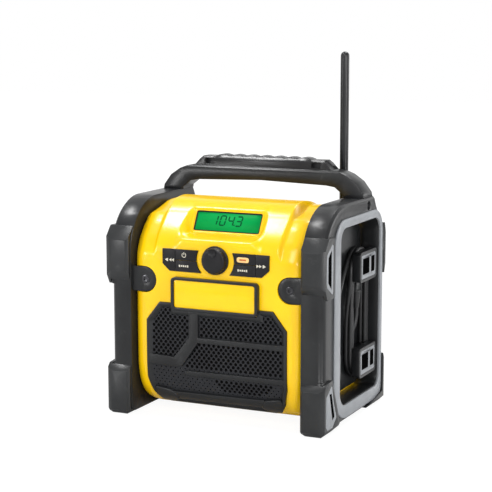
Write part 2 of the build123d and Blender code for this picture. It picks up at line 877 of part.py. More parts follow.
def speaker_driver(side):
    x, z = side * speaker_spacing / 2, speaker_height
    r = speaker_radius
    y = baffle_plane
    flange = rod_y(x, z, r + 4, y, y + 2) - rod_y(x, z, r - 2, y - 1, y + 3)
    basket = cone_y(x, z, r, r / 2, y + 2, y + 20) - cone_y(x, z, r - 2, r / 2 - 2, y + 2, y + 18)
    return flange + basket + rod_y(x, z, r * 0.58, y + 20, y + 30)


def speaker_cone(side):
    x, z = side * speaker_spacing / 2, speaker_height
    r = speaker_radius - 2.2
    y = baffle_plane
    cone = cone_y(x, z, r, r / 3, y, y + 15) - cone_y(x, z, r - 1, r / 3 - 1, y - 0.01, y + 14)
    return cone


def transformer():
    floor, back = case_bottom + wall, board_plane() - 10
    core = block(22, 70, back - 38, back, floor, floor + 40)
    return core + block(28, 64, back - 46, back + 8, floor + 8, floor + 32)


def main_board():
    y = board_plane()
    return block(-case_half + 34, case_half - 16, y, y + board_thickness, bay_bottom + 6,
                 part_line_height - 36)


# ---------------------------------------------------------------- cord wrap

def cord_wrap_plate():
    front_edge, back_edge = opening_front + plate_margin, opening_rear - 2 * plate_margin
    low, high = opening_bottom + plate_lift, opening_top - plate_drop
    outline = [(front_edge, low), (front_edge, high), (back_edge, high), (back_edge, low)]
    plate = yz_prism(outline, case_half, plate_face, plate_corner)
    y = plug_centre
    half = plug_width / 2
    for edge in (y - half - 2.0, y + half + 0.2):
        plate += block(plate_face - 1, plate_face + 9, edge, edge + 1.8, plug_bottom + 6,
                       plug_bottom + 20)
    gland = block(plate_face - 1, plate_face + 10, relief_back - 7, relief_back + 7,
                  relief_top, relief_top + 12)
    return plate + gland


def cleat_neck(level, direction):
    """Half-round neck that the cord bends round, flat towards the other cleat."""
    neck = rod_x(cleat_centre, level, neck_radius, plate_face, head_face)
    flat = level - direction * 8
    far = level - direction * 40
    return neck - block(case_half, frame_face, front, rear, min(flat, far), max(flat, far))


def head_middle(level, direction):
    return level + direction * 7.3


def cleat(level, direction):
    middle = head_middle(level, direction)
    y0, y1 = cleat_centre - head_depth / 2, cleat_centre + head_depth / 2
    z0, z1 = middle - head_height / 2, middle + head_height / 2
    head = yz_prism([(y0, z0), (y0, z1), (y1, z1), (y1, z0)], head_face,
                    head_face + head_thickness, 5.0)
    return head + cleat_neck(level, direction) - cleat_cap(level, direction)


def cleat_cap(level, direction):
    middle = head_middle(level, direction)
    half_y, half_z = head_depth / 2 - 4, head_height / 2 - 3.5
    y0, y1, z0, z1 = (cleat_centre - half_y, cleat_centre + half_y, middle - half_z,
                      middle + half_z)
    face = head_face + head_thickness
    cap = yz_prism([(y0, z0), (y0, z1), (y1, z1), (y1, z0)], face - 1.5, face, 3.0)
    for near, far in ((4, 25), (31, 2 * half_y - 4)):
        cap -= yz_prism([(y0 + near, z0 + 5), (y0 + near, z1 - 4), (y0 + far, z1 - 4),
                         (y0 + far, z0 + 5)], face - 2, face + 1, 1.0)
    return cap


def cleat_caps():
    caps = [cleat_cap(upper_neck, 1).solid(), cleat_cap(lower_neck, -1).solid()]
    return Compound(children=caps)


def winding():
    """Outer shape of the wound cord: a racetrack round both necks."""
    def track(radius):
        x0, x1 = plate_face + strand_gap, head_face - strand_gap
        body = block(x0, x1, cleat_centre - radius, cleat_centre + radius, lower_neck, upper_neck)
        body += rod_x(cleat_centre, upper_neck, radius, x0, x1)
        return body + rod_x(cleat_centre, lower_neck, radius, x0, x1)
    return track(winding_radius) - track(neck_radius + winding_gap)


def strand_x(column):
    return plate_face + strand_gap + cord_diameter * (column + 0.52)


def between(start, end, shares):
    """Points from start to end, each given by its share of the way along X, Y and Z."""
    return [tuple(a + (b - a) * part for a, b, part in zip(start, end, share))
            for share in shares]


def lead_route():
    """From the strain relief down to the front of the first turn."""
    start = (plug_middle, relief_back, relief_top - relief_length)
    end = (strand_x(0), relief_back - 15, lower_neck + 3)
    return between(start, end, [(0, 0, 0), (0, 0, 0.214), (0.227, 0.26, 0.417),
                                (0.773, 0.74, 0.583), (1, 1, 0.786), (1, 1, 1)])


def tail_route():
    """From the top of the last turn forward and down to the plug."""
    start = (strand_x(0), cleat_centre - 17, upper_neck + 19.5)
    end = (plug_middle, plug_centre, plug_bottom + plug_body + plug_relief)
    return between(start, end, [(0, 0, 0), (0.09, 0.238, 0.166), (0.295, 0.492, 0.374),
                                (0.59, 0.73, 0.62), (0.864, 0.921, 0.791), (1, 1, 1)])


def cord_tube(points, name):
    """Round tube along straight runs joined by tangent arcs."""
    radii = []
    for a, b, c in zip(points, points[1:], points[2:]):
        first, second = Vector(b) - Vector(a), Vector(c) - Vector(b)
        half_turn = math.radians(first.get_angle(second) / 2)
        radii.append(0.45 * min(first.length, second.length) / math.tan(half_turn))
    path = FilletPolyline(*points, radius=radii)
    start = Plane(origin=path @ 0, z_dir=path % 0)
    tube = sweep(start * Circle(cord_diameter / 2), path=path)
    ideal = math.pi * cord_diameter ** 2 / 4 * path.length
    print(name, "radii", [round(r) for r in radii], "length", round(path.length, 1),
          "volume share", round(tube.volume / ideal, 4))
    return tube


def cord_strain_relief():
    start = relief_top
    cone = Cone(cord_diameter / 2 + 0.6, 5.0, relief_length)
    return Pos(plug_middle, relief_back, start - relief_length / 2) * cone


def mains_plug():
    half_y, half_x = plug_width / 2, plug_thickness / 2
    top = plug_bottom + plug_body
    outline = [(plug_middle - half_x, plug_centre - half_y),
               (plug_middle + half_x, plug_centre - half_y),
               (plug_middle + half_x, plug_centre + half_y),
               (plug_middle - half_x, plug_centre + half_y)]
    body = xy_prism(outline, plug_bottom, top, 3.0)
    relief = Cone(5.0, cord_diameter / 2 + 0.5, plug_relief)
    return body + Pos(plug_middle, plug_centre, top + plug_relief / 2) * relief


def plug_blades():
    blades = []
    for side in (-1, 1):
        y = plug_centre + side * 6.35
        blades.append(block(plug_middle - 3.2, plug_middle + 3.2, y - 0.75, y + 0.75,
                            plug_bottom - 15, plug_bottom))
    return Compound(children=[b.solid() for b in blades])


# ---------------------------------------------------------------- storage box

def storage_box():
    x0 = -case_half
    x1 = -case_half + box_depth
    body = block(x0, x1, box_front - box_wall, box_rear + box_wall, box_bottom - box_wall,
                 box_top + box_wall)
    body -= block(x0 - 1, x1 - box_wall, box_front, box_rear, box_bottom, box_top)
    hinge_x, hinge_z = door_hinge()
    for y in (box_front - door_lap - 4, box_rear + door_lap + 1):
        ear = block(hinge_x - hinge_radius, x0, y, y + 3, hinge_z - hinge_radius,
                    hinge_z + hinge_radius)
        body += ear - rod_y(hinge_x, hinge_z, pin_radius + running_gap, y - 1, y + 4)
    return body + hinge_rail()


def hinge_rail():
    """Rail under the box mouth that carries both hinge ears."""
    z = door_hinge()[1]
    return block(-case_half, -case_half + 3, box_front - door_lap - 4, box_rear + door_lap + 4,
                 z - hinge_radius, box_bottom - box_wall)


def door_hinge():
    return (-case_half - hinge_radius - 1, box_bottom - 8)


def storage_door():
    hinge_x, hinge_z = door_hinge()
    x1 = -case_half - door_gap
    outline = [(box_front - door_lap + 1, hinge_z + hinge_radius + 0.5),
               (box_front - door_lap + 1, box_top + door_lap),
               (box_rear + door_lap - 1, box_top + door_lap),
               (box_rear + door_lap - 1, hinge_z + hinge_radius + 0.5)]
    door = yz_prism(outline, x1 - door_thickness, x1, [0, 8, 8, 0])
    barrel = rod_y(hinge_x, hinge_z, hinge_radius, box_front - door_lap + 1,
                   box_rear + door_lap - 1)
    strap = block(hinge_x - 1.5, hinge_x + 1.5, box_front, box_rear, hinge_z,
                  hinge_z + hinge_radius + 2)
    ends = rod_y(hinge_x, hinge_z, pin_radius, box_front - door_lap - 4, box_rear + door_lap + 4)
    return door + barrel + strap + ends


def aux_jack():
    y, z = jack_place()
    body = rod_x(y, z, jack_radius(), -case_half, -case_half + 17)
    return body - rod_x(y, z, 1.8, -case_half - 1, -case_half + 15)


# ---------------------------------------------------------------- battery dock

def battery_dock():
    """Two rails that a slide-on battery pack hooks over."""
    y0 = case_rear - bay_depth
    top = part_line_height - 40
    dock = block(-bay_half + 6, bay_half - 6, y0, y0 + rail_thickness, bay_bottom + 8, top)
    for side in (-1, 1):
        dock += block(side * (bay_half - 13), side * (bay_half - 8), y0 + rail_thickness - 1,
                      y0 + 10, bay_bottom + 8, top)
        dock += block(side * (bay_half - 18), side * (bay_half - 8), y0 + 8, y0 + 11,
                      bay_bottom + 8, top)
    return dock


def battery_terminals():
    y0 = case_rear - bay_depth + rail_thickness
    blades = []
    for i in range(-2, 3):
        blades.append(block(i * 7 - 0.4, i * 7 + 0.4, y0, y0 + 6, bay_bottom + 14,
                            bay_bottom + 32).solid())
    return Compound(children=blades)


# ---------------------------------------------------------------- antenna

def antenna_base():
    x, y, z = antenna_across, antenna_back, antenna_pivot
    foot = block(x - 9, x + 9, y - 7, y + 7, z - 16, z - 9)
    for side in (-1, 1):
        foot += block(x - 5, x + 5, y + side * 4, y + side * 7, z - 10, z)
        foot += rod_y(x, z, 5, y + side * 4, y + side * 7)
    return foot - rod_y(x, z, 1.6, y - 10, y + 10)


def antenna_pin():
    return rod_y(antenna_across, antenna_pivot, 1.6, antenna_back - 7, antenna_back + 7)


def antenna_whip():
    x, y, z = antenna_across, antenna_back, antenna_pivot
    top = z + antenna_length
    whip = rod_y(x, z, 4.6, y - 3.6, y + 3.6) + block(x - 3.6, x + 3.6, y - 3.6, y + 3.6, z, z + 8)
    whip += Pos(x, y, z + 6 + (antenna_length - 6 - antenna_radius) / 2) * Cylinder(
        antenna_radius, antenna_length - 6 - antenna_radius)
    whip += Pos(x, y, top - antenna_radius) * Sphere(antenna_radius)
    return whip - rod_y(x, z, 1.6 + running_gap, y - 10, y + 10)


# ---------------------------------------------------------------- screws

def frame_screws():
    screws = []
    for side in (-1, 1):
        screws.append(screw_y(side * tongue_screw_x(), tongue_centre, tongue_front, 9))
        x = side * (case_half - 12)
        rear_face = case_rear + 3.5
        z = rear_screw_height
        screws.append(rod_y(x, z, screw_head_radius, rear_face, rear_face + screw_head_height)
                      + rod_y(x, z, screw_radius, case_rear - 9, rear_face))
    return Compound(children=[s.solid() for s in screws])


def case_screws():
    screws = []
    for x, z in screw_posts():
        head = rod_y(x, z, screw_head_radius, case_rear - 6, case_rear - 6 + screw_head_height)
        screws.append(head + rod_y(x, z, screw_radius, part_line - 10, case_rear - 6))
    return Compound(children=[s.solid() for s in screws])


# ---------------------------------------------------------------- all nodes

def build_nodes():
    nodes = {
        "front_case": front_case(), "rear_case": rear_case(),
        "speaker_grille": speaker_grille(), "badge_frame": badge_frame(),
        "badge_plate": badge_plate(), "lcd_window": lcd_window(), "lcd_module": lcd_module(),
        "control_board": control_board(), "key_mat": key_mat(),
        "seek_back_key": key(-1, "outer", ""), "power_key": key(-1, "inner", "upper"),
        "mode_key": key(-1, "inner", "lower"), "band_key": key(1, "inner", "upper"),
        "preset_key": key(1, "inner", "lower"), "seek_forward_key": key(1, "outer", ""),
        "tuning_knob": tuning_knob(), "encoder_shaft": encoder_shaft(),
        "rotary_encoder": rotary_encoder(), "handle_bar": handle_bar(),
        "handle_grip": handle_grip(), "handle_screws": handle_screws(),
        "frame_screws": frame_screws(), "case_screws": case_screws(),
        "cord_wrap_plate": cord_wrap_plate(), "upper_cleat": cleat(upper_neck, 1),
        "lower_cleat": cleat(lower_neck, -1), "cleat_caps": cleat_caps(),
        "cord_strain_relief": cord_strain_relief(), "power_cord_winding": winding(),
        "power_cord_lead": cord_tube(lead_route(), "lead"),
        "power_cord_tail": cord_tube(tail_route(), "tail"),
        "mains_plug": mains_plug(), "plug_blades": plug_blades(),
        "main_board": main_board(), "transformer": transformer(),
        "battery_dock": battery_dock(), "battery_terminals": battery_terminals(),
        "antenna_base": antenna_base(), "antenna_pin": antenna_pin(),
        "antenna_whip": antenna_whip(), "storage_box": storage_box(),
        "storage_door": storage_door(), "aux_jack": aux_jack(),
    }
    frame, rim = side_frame(), rim_inlay()
    nodes["right_side_frame"], nodes["left_side_frame"] = frame, mirrored(frame)
    nodes["right_frame_inlay"], nodes["left_frame_inlay"] = rim, mirrored(rim)
    inlays = []
    for name in ("front_upper", "front_lower", "rear_upper", "rear_lower"):
        solid = bumper(name)
        nodes[name + "_right_bumper"] = solid
        nodes[name + "_left_bumper"] = mirrored(solid)
        if name.startswith("front"):
            inlay = bumper_inlay(name).solid()
            inlays += [inlay, mirrored(inlay)]
    nodes["bumper_inlays"] = Compound(children=inlays)
    for side, word in ((-1, "left"), (1, "right")):
        nodes[word + "_speaker_driver"] = speaker_driver(side)
        nodes[word + "_speaker_cone"] = speaker_cone(side)
    return nodes


os.makedirs("parts", exist_ok=True)
for node_name, node_shape in build_nodes().items():
    export_step(node_shape, f"parts/{node_name}.step")
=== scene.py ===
import math
import bmesh
import bpy
import numpy as np
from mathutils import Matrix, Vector


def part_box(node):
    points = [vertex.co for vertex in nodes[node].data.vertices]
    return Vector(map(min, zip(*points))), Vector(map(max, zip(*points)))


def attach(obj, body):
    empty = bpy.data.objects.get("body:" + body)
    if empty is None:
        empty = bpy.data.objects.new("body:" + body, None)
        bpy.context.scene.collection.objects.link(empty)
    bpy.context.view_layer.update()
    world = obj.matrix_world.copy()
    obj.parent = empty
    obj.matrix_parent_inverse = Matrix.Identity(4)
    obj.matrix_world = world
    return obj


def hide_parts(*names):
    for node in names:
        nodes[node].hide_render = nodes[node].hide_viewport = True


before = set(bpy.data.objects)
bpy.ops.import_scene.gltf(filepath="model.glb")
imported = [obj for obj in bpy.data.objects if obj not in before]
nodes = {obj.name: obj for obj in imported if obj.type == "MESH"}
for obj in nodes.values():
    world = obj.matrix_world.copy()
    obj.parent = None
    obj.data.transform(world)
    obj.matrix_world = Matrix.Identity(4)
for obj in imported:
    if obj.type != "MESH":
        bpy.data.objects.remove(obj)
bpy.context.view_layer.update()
scene = bpy.context.scene
mm = 0.001
materials = {}
print("stage: frame loaded,", len(nodes), "nodes")


def newObject(name, data):
    item = bpy.data.objects.new(name, data)
    scene.collection.objects.link(item)
    return item


# camera, lights, floor

cameraView = {"azimuth": 24.97, "elevation": 8.78, "distance": 1.717, "lens": 108.8, "sensor": 36,
              "aimHeight": 0.125, "aimRight": -0.00205, "aimUp": 0.06295}


def addCamera(view):
    # back = (sin a cos e, -cos a cos e, sin e); the camera sits at aim + back * distance
    azimuth, elevation = math.radians(view["azimuth"]), math.radians(view["elevation"])
    back = Vector((math.sin(azimuth) * math.cos(elevation),
                   -math.cos(azimuth) * math.cos(elevation), math.sin(elevation)))
    right = Vector((math.cos(azimuth), math.sin(azimuth), 0))
    aim = Vector((0, 0, view["aimHeight"])) + right * view["aimRight"]
    aim += back.cross(right) * view["aimUp"]
    data = bpy.data.cameras.new("camera")
    data.sensor_width = view["sensor"]
    data.lens = view["lens"]
    camera = newObject("camera", data)
    camera.location = aim + back * view["distance"]
    camera.rotation_euler = back.to_track_quat("Z", "Y").to_euler()
    scene.camera = camera


lampTarget = Vector((0, 0, 0.13))
# place, size, power
lamps = {
    "skyLamp": ((-0.75, -0.15, 1.75), 0.3, 16.0),
    "frontLamp": ((0.0, -1.7, 1.3), 0.8, 15.0),
    "rightLamp": ((1.2, -1.6, 0.6), 0.5, 11.0),
    "leftLamp": ((-1.3, -1.6, 0.4), 0.4, 8.0),
    "topLamp": ((0.2, 0.9, 1.8), 0.6, 20.0),
    "rimLamp": ((1.4, 1.3, 0.35), 0.9, 10.0),
    "bevelLamp": ((1.9, -0.7, 0.35), 0.5, 13.0),
}


def addLamps(settings):
    for name, (place, size, power) in settings.items():
        data = bpy.data.lights.new(name, "AREA")
        data.size = size
        data.energy = power
        item = newObject(name, data)
        item.location = place
        item.rotation_euler = (lampTarget - Vector(place)).to_track_quat("-Z", "Y").to_euler()


def feed(tree, node, values):
    # each socket, by label or number, gets a plain value or a link from the output given
    for label, value in values.items():
        if isinstance(value, bpy.types.NodeSocket):
            tree.links.new(value, node.inputs[label])
        else:
            node.inputs[label].default_value = value


def newNode(tree, kind, values=None):
    node = tree.nodes.new("ShaderNode" + kind)
    feed(tree, node, values or {})
    return node


def mathNode(tree, operation, *values, clamp=False):
    node = newNode(tree, "Math")
    node.operation = operation
    node.use_clamp = clamp
    feed(tree, node, dict(enumerate(values)))
    return node.outputs[0]


worldFill = 0.03


def addWorld(fill):
    # white to the camera, in gloss and through glass, and a faint fill elsewhere
    world = bpy.data.worlds.new("studio")
    scene.world = world
    world.use_nodes = True
    tree = world.node_tree
    tree.nodes.clear()
    rays = newNode(tree, "LightPath").outputs
    seen = mathNode(tree, "MAXIMUM", rays["Is Camera Ray"], rays["Is Glossy Ray"])
    seen = mathNode(tree, "MAXIMUM", seen, rays["Is Transmission Ray"])
    white = (1, 1, 1, 1)
    lit = newNode(tree, "Background", {"Color": white, "Strength": fill})
    backdrop = newNode(tree, "Background", {"Color": white, "Strength": 1})
    mix = newNode(tree, "MixShader", {"Fac": seen, 1: lit.outputs[0], 2: backdrop.outputs[0]})
    newNode(tree, "OutputWorld", {"Surface": mix.outputs[0]})


def newMaterial(name):
    material = bpy.data.materials.new(name)
    material.use_nodes = True
    return material, material.node_tree, material.node_tree.nodes["Principled BSDF"]


floorShape = {"reach": 6.0, "color": (0.88, 0.88, 0.88, 1), "rough": 0.55, "glow": 1.1,
              "nearShare": 0.85, "fade": (0.4, 1.4)}


def addFloor(shape):
    # paper that also glows to the camera, wholly so where it is far from the object:
    # share = camera ray * (near + (1 - near) * step(distance))
    mesh = bpy.data.meshes.new("floor")
    reach = shape["reach"]
    mesh.from_pydata([(-reach, -reach, 0), (reach, -reach, 0), (reach, reach, 0),
                      (-reach, reach, 0)], [], [(0, 1, 2, 3)])
    floor = newObject("floor", mesh)
    material, tree, paper = newMaterial("floorPaper")
    feed(tree, paper, {"Base Color": shape["color"], "Roughness": shape["rough"]})
    glow = newNode(tree, "Emission", {"Strength": shape["glow"]})
    far = newNode(tree, "VectorMath", {0: newNode(tree, "TexCoord").outputs["Object"]})
    far.operation = "LENGTH"
    fade = newNode(tree, "MapRange")
    fade.interpolation_type = "SMOOTHSTEP"
    near, distant = shape["fade"]
    feed(tree, fade, {"Value": far.outputs["Value"], "From Min": near, "From Max": distant,
                      "To Min": shape["nearShare"], "To Max": 1.0})
    camera = newNode(tree, "LightPath").outputs["Is Camera Ray"]
    share = mathNode(tree, "MULTIPLY", camera, fade.outputs["Result"])
    mix = newNode(tree, "MixShader", {"Fac": share, 1: paper.outputs[0], 2: glow.outputs[0]})
    feed(tree, tree.nodes["Material Output"], {"Surface": mix.outputs[0]})
    mesh.materials.append(material)


scene.view_settings.view_transform = "Standard"
addCamera(cameraView)
addLamps(lamps)
addWorld(worldFill)
addFloor(floorShape)
print("stage: camera and lights set")


# shader groups and materials

def newGroup(name, inputs, outputs):
    tree = bpy.data.node_groups.new(name, "ShaderNodeTree")
    for label, value in inputs.items():
        tree.interface.new_socket(label, in_out="INPUT",
                                  socket_type="NodeSocketFloat").default_value = value
    for label in outputs:
        tree.interface.new_socket(label, in_out="OUTPUT", socket_type="NodeSocketFloat")
    return tree, tree.nodes.new("NodeGroupInput"), tree.nodes.new("NodeGroupOutput")


noiseRoughness = 0.6


def objectNoise(tree, scale, detail):
    # noise in the object's own space
    place = newNode(tree, "TexCoord")
    noise = newNode(tree, "TexNoise", {"Vector": place.outputs["Object"], "Scale": scale,
                                       "Detail": detail, "Roughness": noiseRoughness})
    return noise.outputs["Fac"]


def buildGrainGroup():
    # moulded texture: fine noise for the height, slow noise for patches of gloss
    tree, given, result = newGroup("mouldedGrain", {"Grain": 1500.0, "Patch": 30.0},
                                   ["Height", "Patches"])
    feed(tree, result, {"Height": objectNoise(tree, given.outputs["Grain"], 3.0),
                        "Patches": objectNoise(tree, given.outputs["Patch"], 4.0)})
    return tree


scuffLook = {"turn": (0.5, 0.3, 0.7), "stretch": (1, 7, 1), "detail": 5, "lineFrom": 0.6,
             "lineGain": 8.0, "patchFrom": 0.5, "patchGain": 6.0}


def buildScuffGroup(look):
    # thin streaks of stretched noise, kept to worn patches of plain noise:
    # amount * clamp(gain (streaks - from)) * clamp(gain (patches - from))
    tree, given, result = newGroup("handlingScuffs", {"Scale": 60.0, "Amount": 0.5}, ["Scuffs"])
    place, scale = newNode(tree, "TexCoord"), given.outputs["Scale"]
    turn = newNode(tree, "Mapping", {"Vector": place.outputs["Object"], "Rotation": look["turn"],
                                     "Scale": look["stretch"]})
    streaks = newNode(tree, "TexNoise", {"Vector": turn.outputs["Vector"], "Scale": scale,
                                         "Detail": look["detail"]})
    lines = mathNode(tree, "SUBTRACT", streaks.outputs["Fac"], look["lineFrom"])
    lines = mathNode(tree, "MULTIPLY", lines, look["lineGain"], clamp=True)
    patches = mathNode(tree, "SUBTRACT", objectNoise(tree, scale, 2.0), look["patchFrom"])
    patches = mathNode(tree, "MULTIPLY", patches, look["patchGain"], clamp=True)
    both = mathNode(tree, "MULTIPLY", lines, patches)
    feed(tree, result, {"Scuffs": mathNode(tree, "MULTIPLY", both, given.outputs["Amount"])})
    return tree


grainGroup = buildGrainGroup()
scuffGroup = buildScuffGroup(scuffLook)

# a row leaves out its last values where they are plain
finishKeys = "color deep rough roughSpread grain bump scuff gloss metal coat".split()
plainFinish = {"gloss": 0.5, "metal": 0.0, "coat": 0.0}
finishes = {
    "yellowShell": ((0.96, 0.6, 0.001), (0.94, 0.55, 0.001), 0.22, 0.05, 1600, 0.04, 0.05, 0.4),
    "blackShell": ((0.014, 0.015, 0.016), (0.009, 0.009, 0.01), 0.3, 0.1, 1300, 0.1, 0.18, 0.28),
    "bumperRubber": ((0.02, 0.021, 0.022), (0.012, 0.013, 0.014), 0.32, 0.12, 1000, 0.14, 0.25, 0.32),
    "gripRubber": ((0.014, 0.014, 0.015), (0.009, 0.009, 0.01), 0.24, 0.08, 900, 0.12, 0.1, 0.25),
    "inlayGrey": ((0.31, 0.325, 0.345), (0.24, 0.25, 0.265), 0.34, 0.1, 1500, 0.05, 0.15, 0.2),
    "keyBlack": ((0.012, 0.011, 0.013), (0.008, 0.008, 0.009), 0.38, 0.08, 1800, 0.05, 0.05, 0.2),
    "pillOrange": ((0.88, 0.56, 0.22), (0.84, 0.5, 0.18), 0.4, 0.08, 1800, 0.05, 0.05),
    "iconPrint": ((0.66, 0.63, 0.52), (0.55, 0.52, 0.43), 0.6, 0.05, 2000, 0.03, 0.0),
    "iconDark": ((0.5, 0.11, 0.01), (0.42, 0.08, 0.01), 0.5, 0.05, 2000, 0.03, 0.0),
    "digitBlack": ((0.001, 0.085, 0.03), (0.001, 0.07, 0.024), 0.6, 0.02, 2000, 0.0, 0.0, 0.05),
    "meshBlack": ((0.022, 0.023, 0.026), (0.015, 0.015, 0.017), 0.36, 0.1, 1500, 0.06, 0.06, 0.15),
    "clothBlack": ((0.004, 0.004, 0.004), (0.002, 0.002, 0.002), 0.9, 0.05, 3000, 0.2, 0.0, 0.1),
    # painted shade: near-black for the fillings that stand in for the shade in recessed windows and
    # slots
    "deepBlack": ((0.003, 0.003, 0.003), (0.002, 0.002, 0.002), 0.9, 0.0, 1500, 0.0, 0.0, 0.0),
    "screwBlack": ((0.06, 0.06, 0.065), (0.03, 0.03, 0.033), 0.22, 0.1, 2500, 0.05, 0.2, 0.5, 0.9),
    "cordPvc": ((0.02, 0.02, 0.021), (0.014, 0.014, 0.015), 0.38, 0.1, 900, 0.05, 0.1, 0.3),
    "screwSteel": ((0.22, 0.22, 0.23), (0.1, 0.1, 0.11), 0.35, 0.12, 2500, 0.05, 0.2, 0.5, 1.0),
    "contactBrass": ((0.7, 0.5, 0.2), (0.55, 0.38, 0.14), 0.28, 0.1, 2500, 0.03, 0.2, 0.5, 1.0),
    "boardGreen": ((0.02, 0.16, 0.06), (0.01, 0.1, 0.04), 0.4, 0.1, 1500, 0.05, 0.0, 0.5, 0.0, 0.2),
}
tintRule = {"gain": 2.4, "shift": -0.6, "paleShare": 0.6, "paleLift": 0.12, "bumpDepth": 0.0004}


def groupNode(tree, group, values):
    node = newNode(tree, "Group")
    node.node_tree = group
    feed(tree, node, values)
    return node.outputs


def mixColors(tree, first, second, factor):
    # (1 - factor) first + factor second
    node = newNode(tree, "Mix")
    node.data_type = "RGBA"
    feed(tree, node, {"A": first, "B": second, "Factor": factor})
    return node.outputs["Result"]


def makeFinish(name, look, rule):
    # base = deep to color by clamp(gain patches + shift), then to a paler tone by the scuffs;
    # roughness = rough + spread (patches - 1/2); height = fine grain
    material, tree, shader = newMaterial(name)
    grain = groupNode(tree, grainGroup, {"Grain": look["grain"]})
    scuffs = groupNode(tree, scuffGroup, {"Amount": look["scuff"]})
    share = mathNode(tree, "MULTIPLY_ADD", grain["Patches"], rule["gain"], rule["shift"], clamp=True)
    tint = mixColors(tree, look["deep"] + (1,), look["color"] + (1,), share)
    pale = tuple(min(1.0, c * rule["paleShare"] + rule["paleLift"]) for c in look["color"])
    base = mixColors(tree, tint, pale + (1,), scuffs["Scuffs"])
    rough = mathNode(tree, "MULTIPLY_ADD", grain["Patches"], look["roughSpread"],
                     look["rough"] - look["roughSpread"] / 2)
    feed(tree, shader, {"Base Color": base, "Roughness": rough, "Metallic": look["metal"],
                        "Coat Weight": look["coat"], "Specular IOR Level": look["gloss"]})
    if look["bump"]:
        bump = newNode(tree, "Bump", {"Strength": look["bump"], "Distance": rule["bumpDepth"],
                                      "Height": grain["Height"]})
        feed(tree, shader, {"Normal": bump.outputs["Normal"]})
    return material


displayLook = {"dark": (0.002, 0.22, 0.04), "light": (0.002, 0.30, 0.075), "glow": 0.4,
               "patch": 60, "rough": 0.45, "gloss": 0.06}


def makeDisplayGlow(look):
    # lit liquid crystal, faintly mottled: base = glow = dark to light by slow noise
    material, tree, shader = newMaterial("displayGreen")
    grain = groupNode(tree, grainGroup, {"Patch": look["patch"]})
    tint = mixColors(tree, look["dark"] + (1,), look["light"] + (1,), grain["Patches"])
    feed(tree, shader, {"Base Color": tint, "Emission Color": tint, "Roughness": look["rough"],
                        "Emission Strength": look["glow"], "Specular IOR Level": look["gloss"]})
    return material


for finishName, row in finishes.items():
    finishLook = {**plainFinish, **dict(zip(finishKeys, row))}
    materials[finishName] = makeFinish(finishName, finishLook, tintRule)
materials["displayGreen"] = makeDisplayGlow(displayLook)
print("stage: materials made,", len(materials))


# mesh helpers

def gridFaces(rows, columns, closeRows=False, closeColumns=False):
    # quad (i, j): the four grid points round it, as indices i * columns + j
    i = np.arange(rows if closeRows else rows - 1)
    j = np.arange(columns if closeColumns else columns - 1)
    a, b = (m.ravel() for m in np.meshgrid(i, j, indexing="ij"))
    a1, b1 = (a + 1) % rows, (b + 1) % columns
    return np.stack([a * columns + b, a1 * columns + b, a1 * columns + b1, a * columns + b1], -1)


def tubeFaces(rings, around):
    # quads between closed rings of points, and a flat cap on the first and the last ring
    faces = gridFaces(rings, around, closeColumns=True).tolist()
    return faces + [list(range(around)), list(range((rings - 1) * around, rings * around))]


def newMesh(name, points, faces, merge=None):
    # points in millimetres, faces as lists of point numbers; points nearer than merge (metres)
    # are joined, and every face is turned outward
    mesh = bpy.data.meshes.new(name)
    mesh.from_pydata((np.asarray(points, float) * mm).tolist(), [], faces)
    work = bmesh.new()
    work.from_mesh(mesh)
    if merge:
        bmesh.ops.remove_doubles(work, verts=work.verts, dist=merge)
    bmesh.ops.recalc_face_normals(work, faces=work.faces)
    work.to_mesh(mesh)
    work.free()
    return mesh


def newPiece(name, points, faces, finish, slotName="black_plastic", body="cabinet", merge=1e-6):
    piece = newObject(name, newMesh(name, points, faces, merge))
    piece.data.materials.append(materials[finish])
    smoothByAngle(piece)
    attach(piece, body)
    return piece


def smoothByAngle(piece, degrees=32):
    mesh = piece.data
    mesh.polygons.foreach_set("use_smooth", np.ones(len(mesh.polygons), bool))
    mesh.set_sharp_from_angle(angle=math.radians(degrees))


def applyModifiers(piece):
    # the evaluated mesh takes the place of the base mesh
    old = piece.data
    graph = bpy.context.evaluated_depsgraph_get()
    mesh = bpy.data.meshes.new_from_object(piece.evaluated_get(graph))
    piece.modifiers.clear()
    piece.data = mesh
    bpy.data.meshes.remove(old)
    smoothByAngle(piece)


def thicken(piece, thickness, offset):
    # gives a sheet this wall: inward at offset -1, to both sides at 0
    wall = piece.modifiers.new("wall", "SOLIDIFY")
    wall.thickness = thickness * mm
    wall.offset = offset
    applyModifiers(piece)


def cutOut(piece, points, faces):
    # boolean difference with a closed cutter that is then removed
    cutter = newObject("cutter", newMesh("cutter", points, faces))
    step = piece.modifiers.new("cut", "BOOLEAN")
    step.operation = "DIFFERENCE"
    step.solver = "EXACT"
    step.object = cutter
    applyModifiers(piece)
    bpy.data.objects.remove(cutter)


def carve(piece, outline, low, high, place):
    # cuts away the outline's prism between two heights
    cutOut(piece, *slab(outline, low, high, 0.01, place, 2))


def roundedOutline(corners, radius, steps=5):
    # each corner P becomes B(t) = (1-t)^2 A + 2t(1-t) P + t^2 C between its tangent points A, C
    corner = np.array(corners, float)
    back, ahead = np.roll(corner, 1, 0) - corner, np.roll(corner, -1, 0) - corner
    reachBack, reachAhead = np.linalg.norm(back, axis=1), np.linalg.norm(ahead, axis=1)
    back /= reachBack[:, None]
    ahead /= reachAhead[:, None]
    half = np.arccos(np.clip((back * ahead).sum(1), -1, 1)) / 2
    cut = np.minimum(np.broadcast_to(radius, half.shape) / np.tan(half),
                     np.minimum(reachBack, reachAhead) * 0.49)[:, None]
    t = np.linspace(0, 1, steps)[:, None, None]
    start, end = corner + back * cut, corner + ahead * cut
    curve = (1 - t) ** 2 * start + 2 * t * (1 - t) * corner + t ** 2 * end
    return curve.transpose(1, 0, 2).reshape(-1, 2)


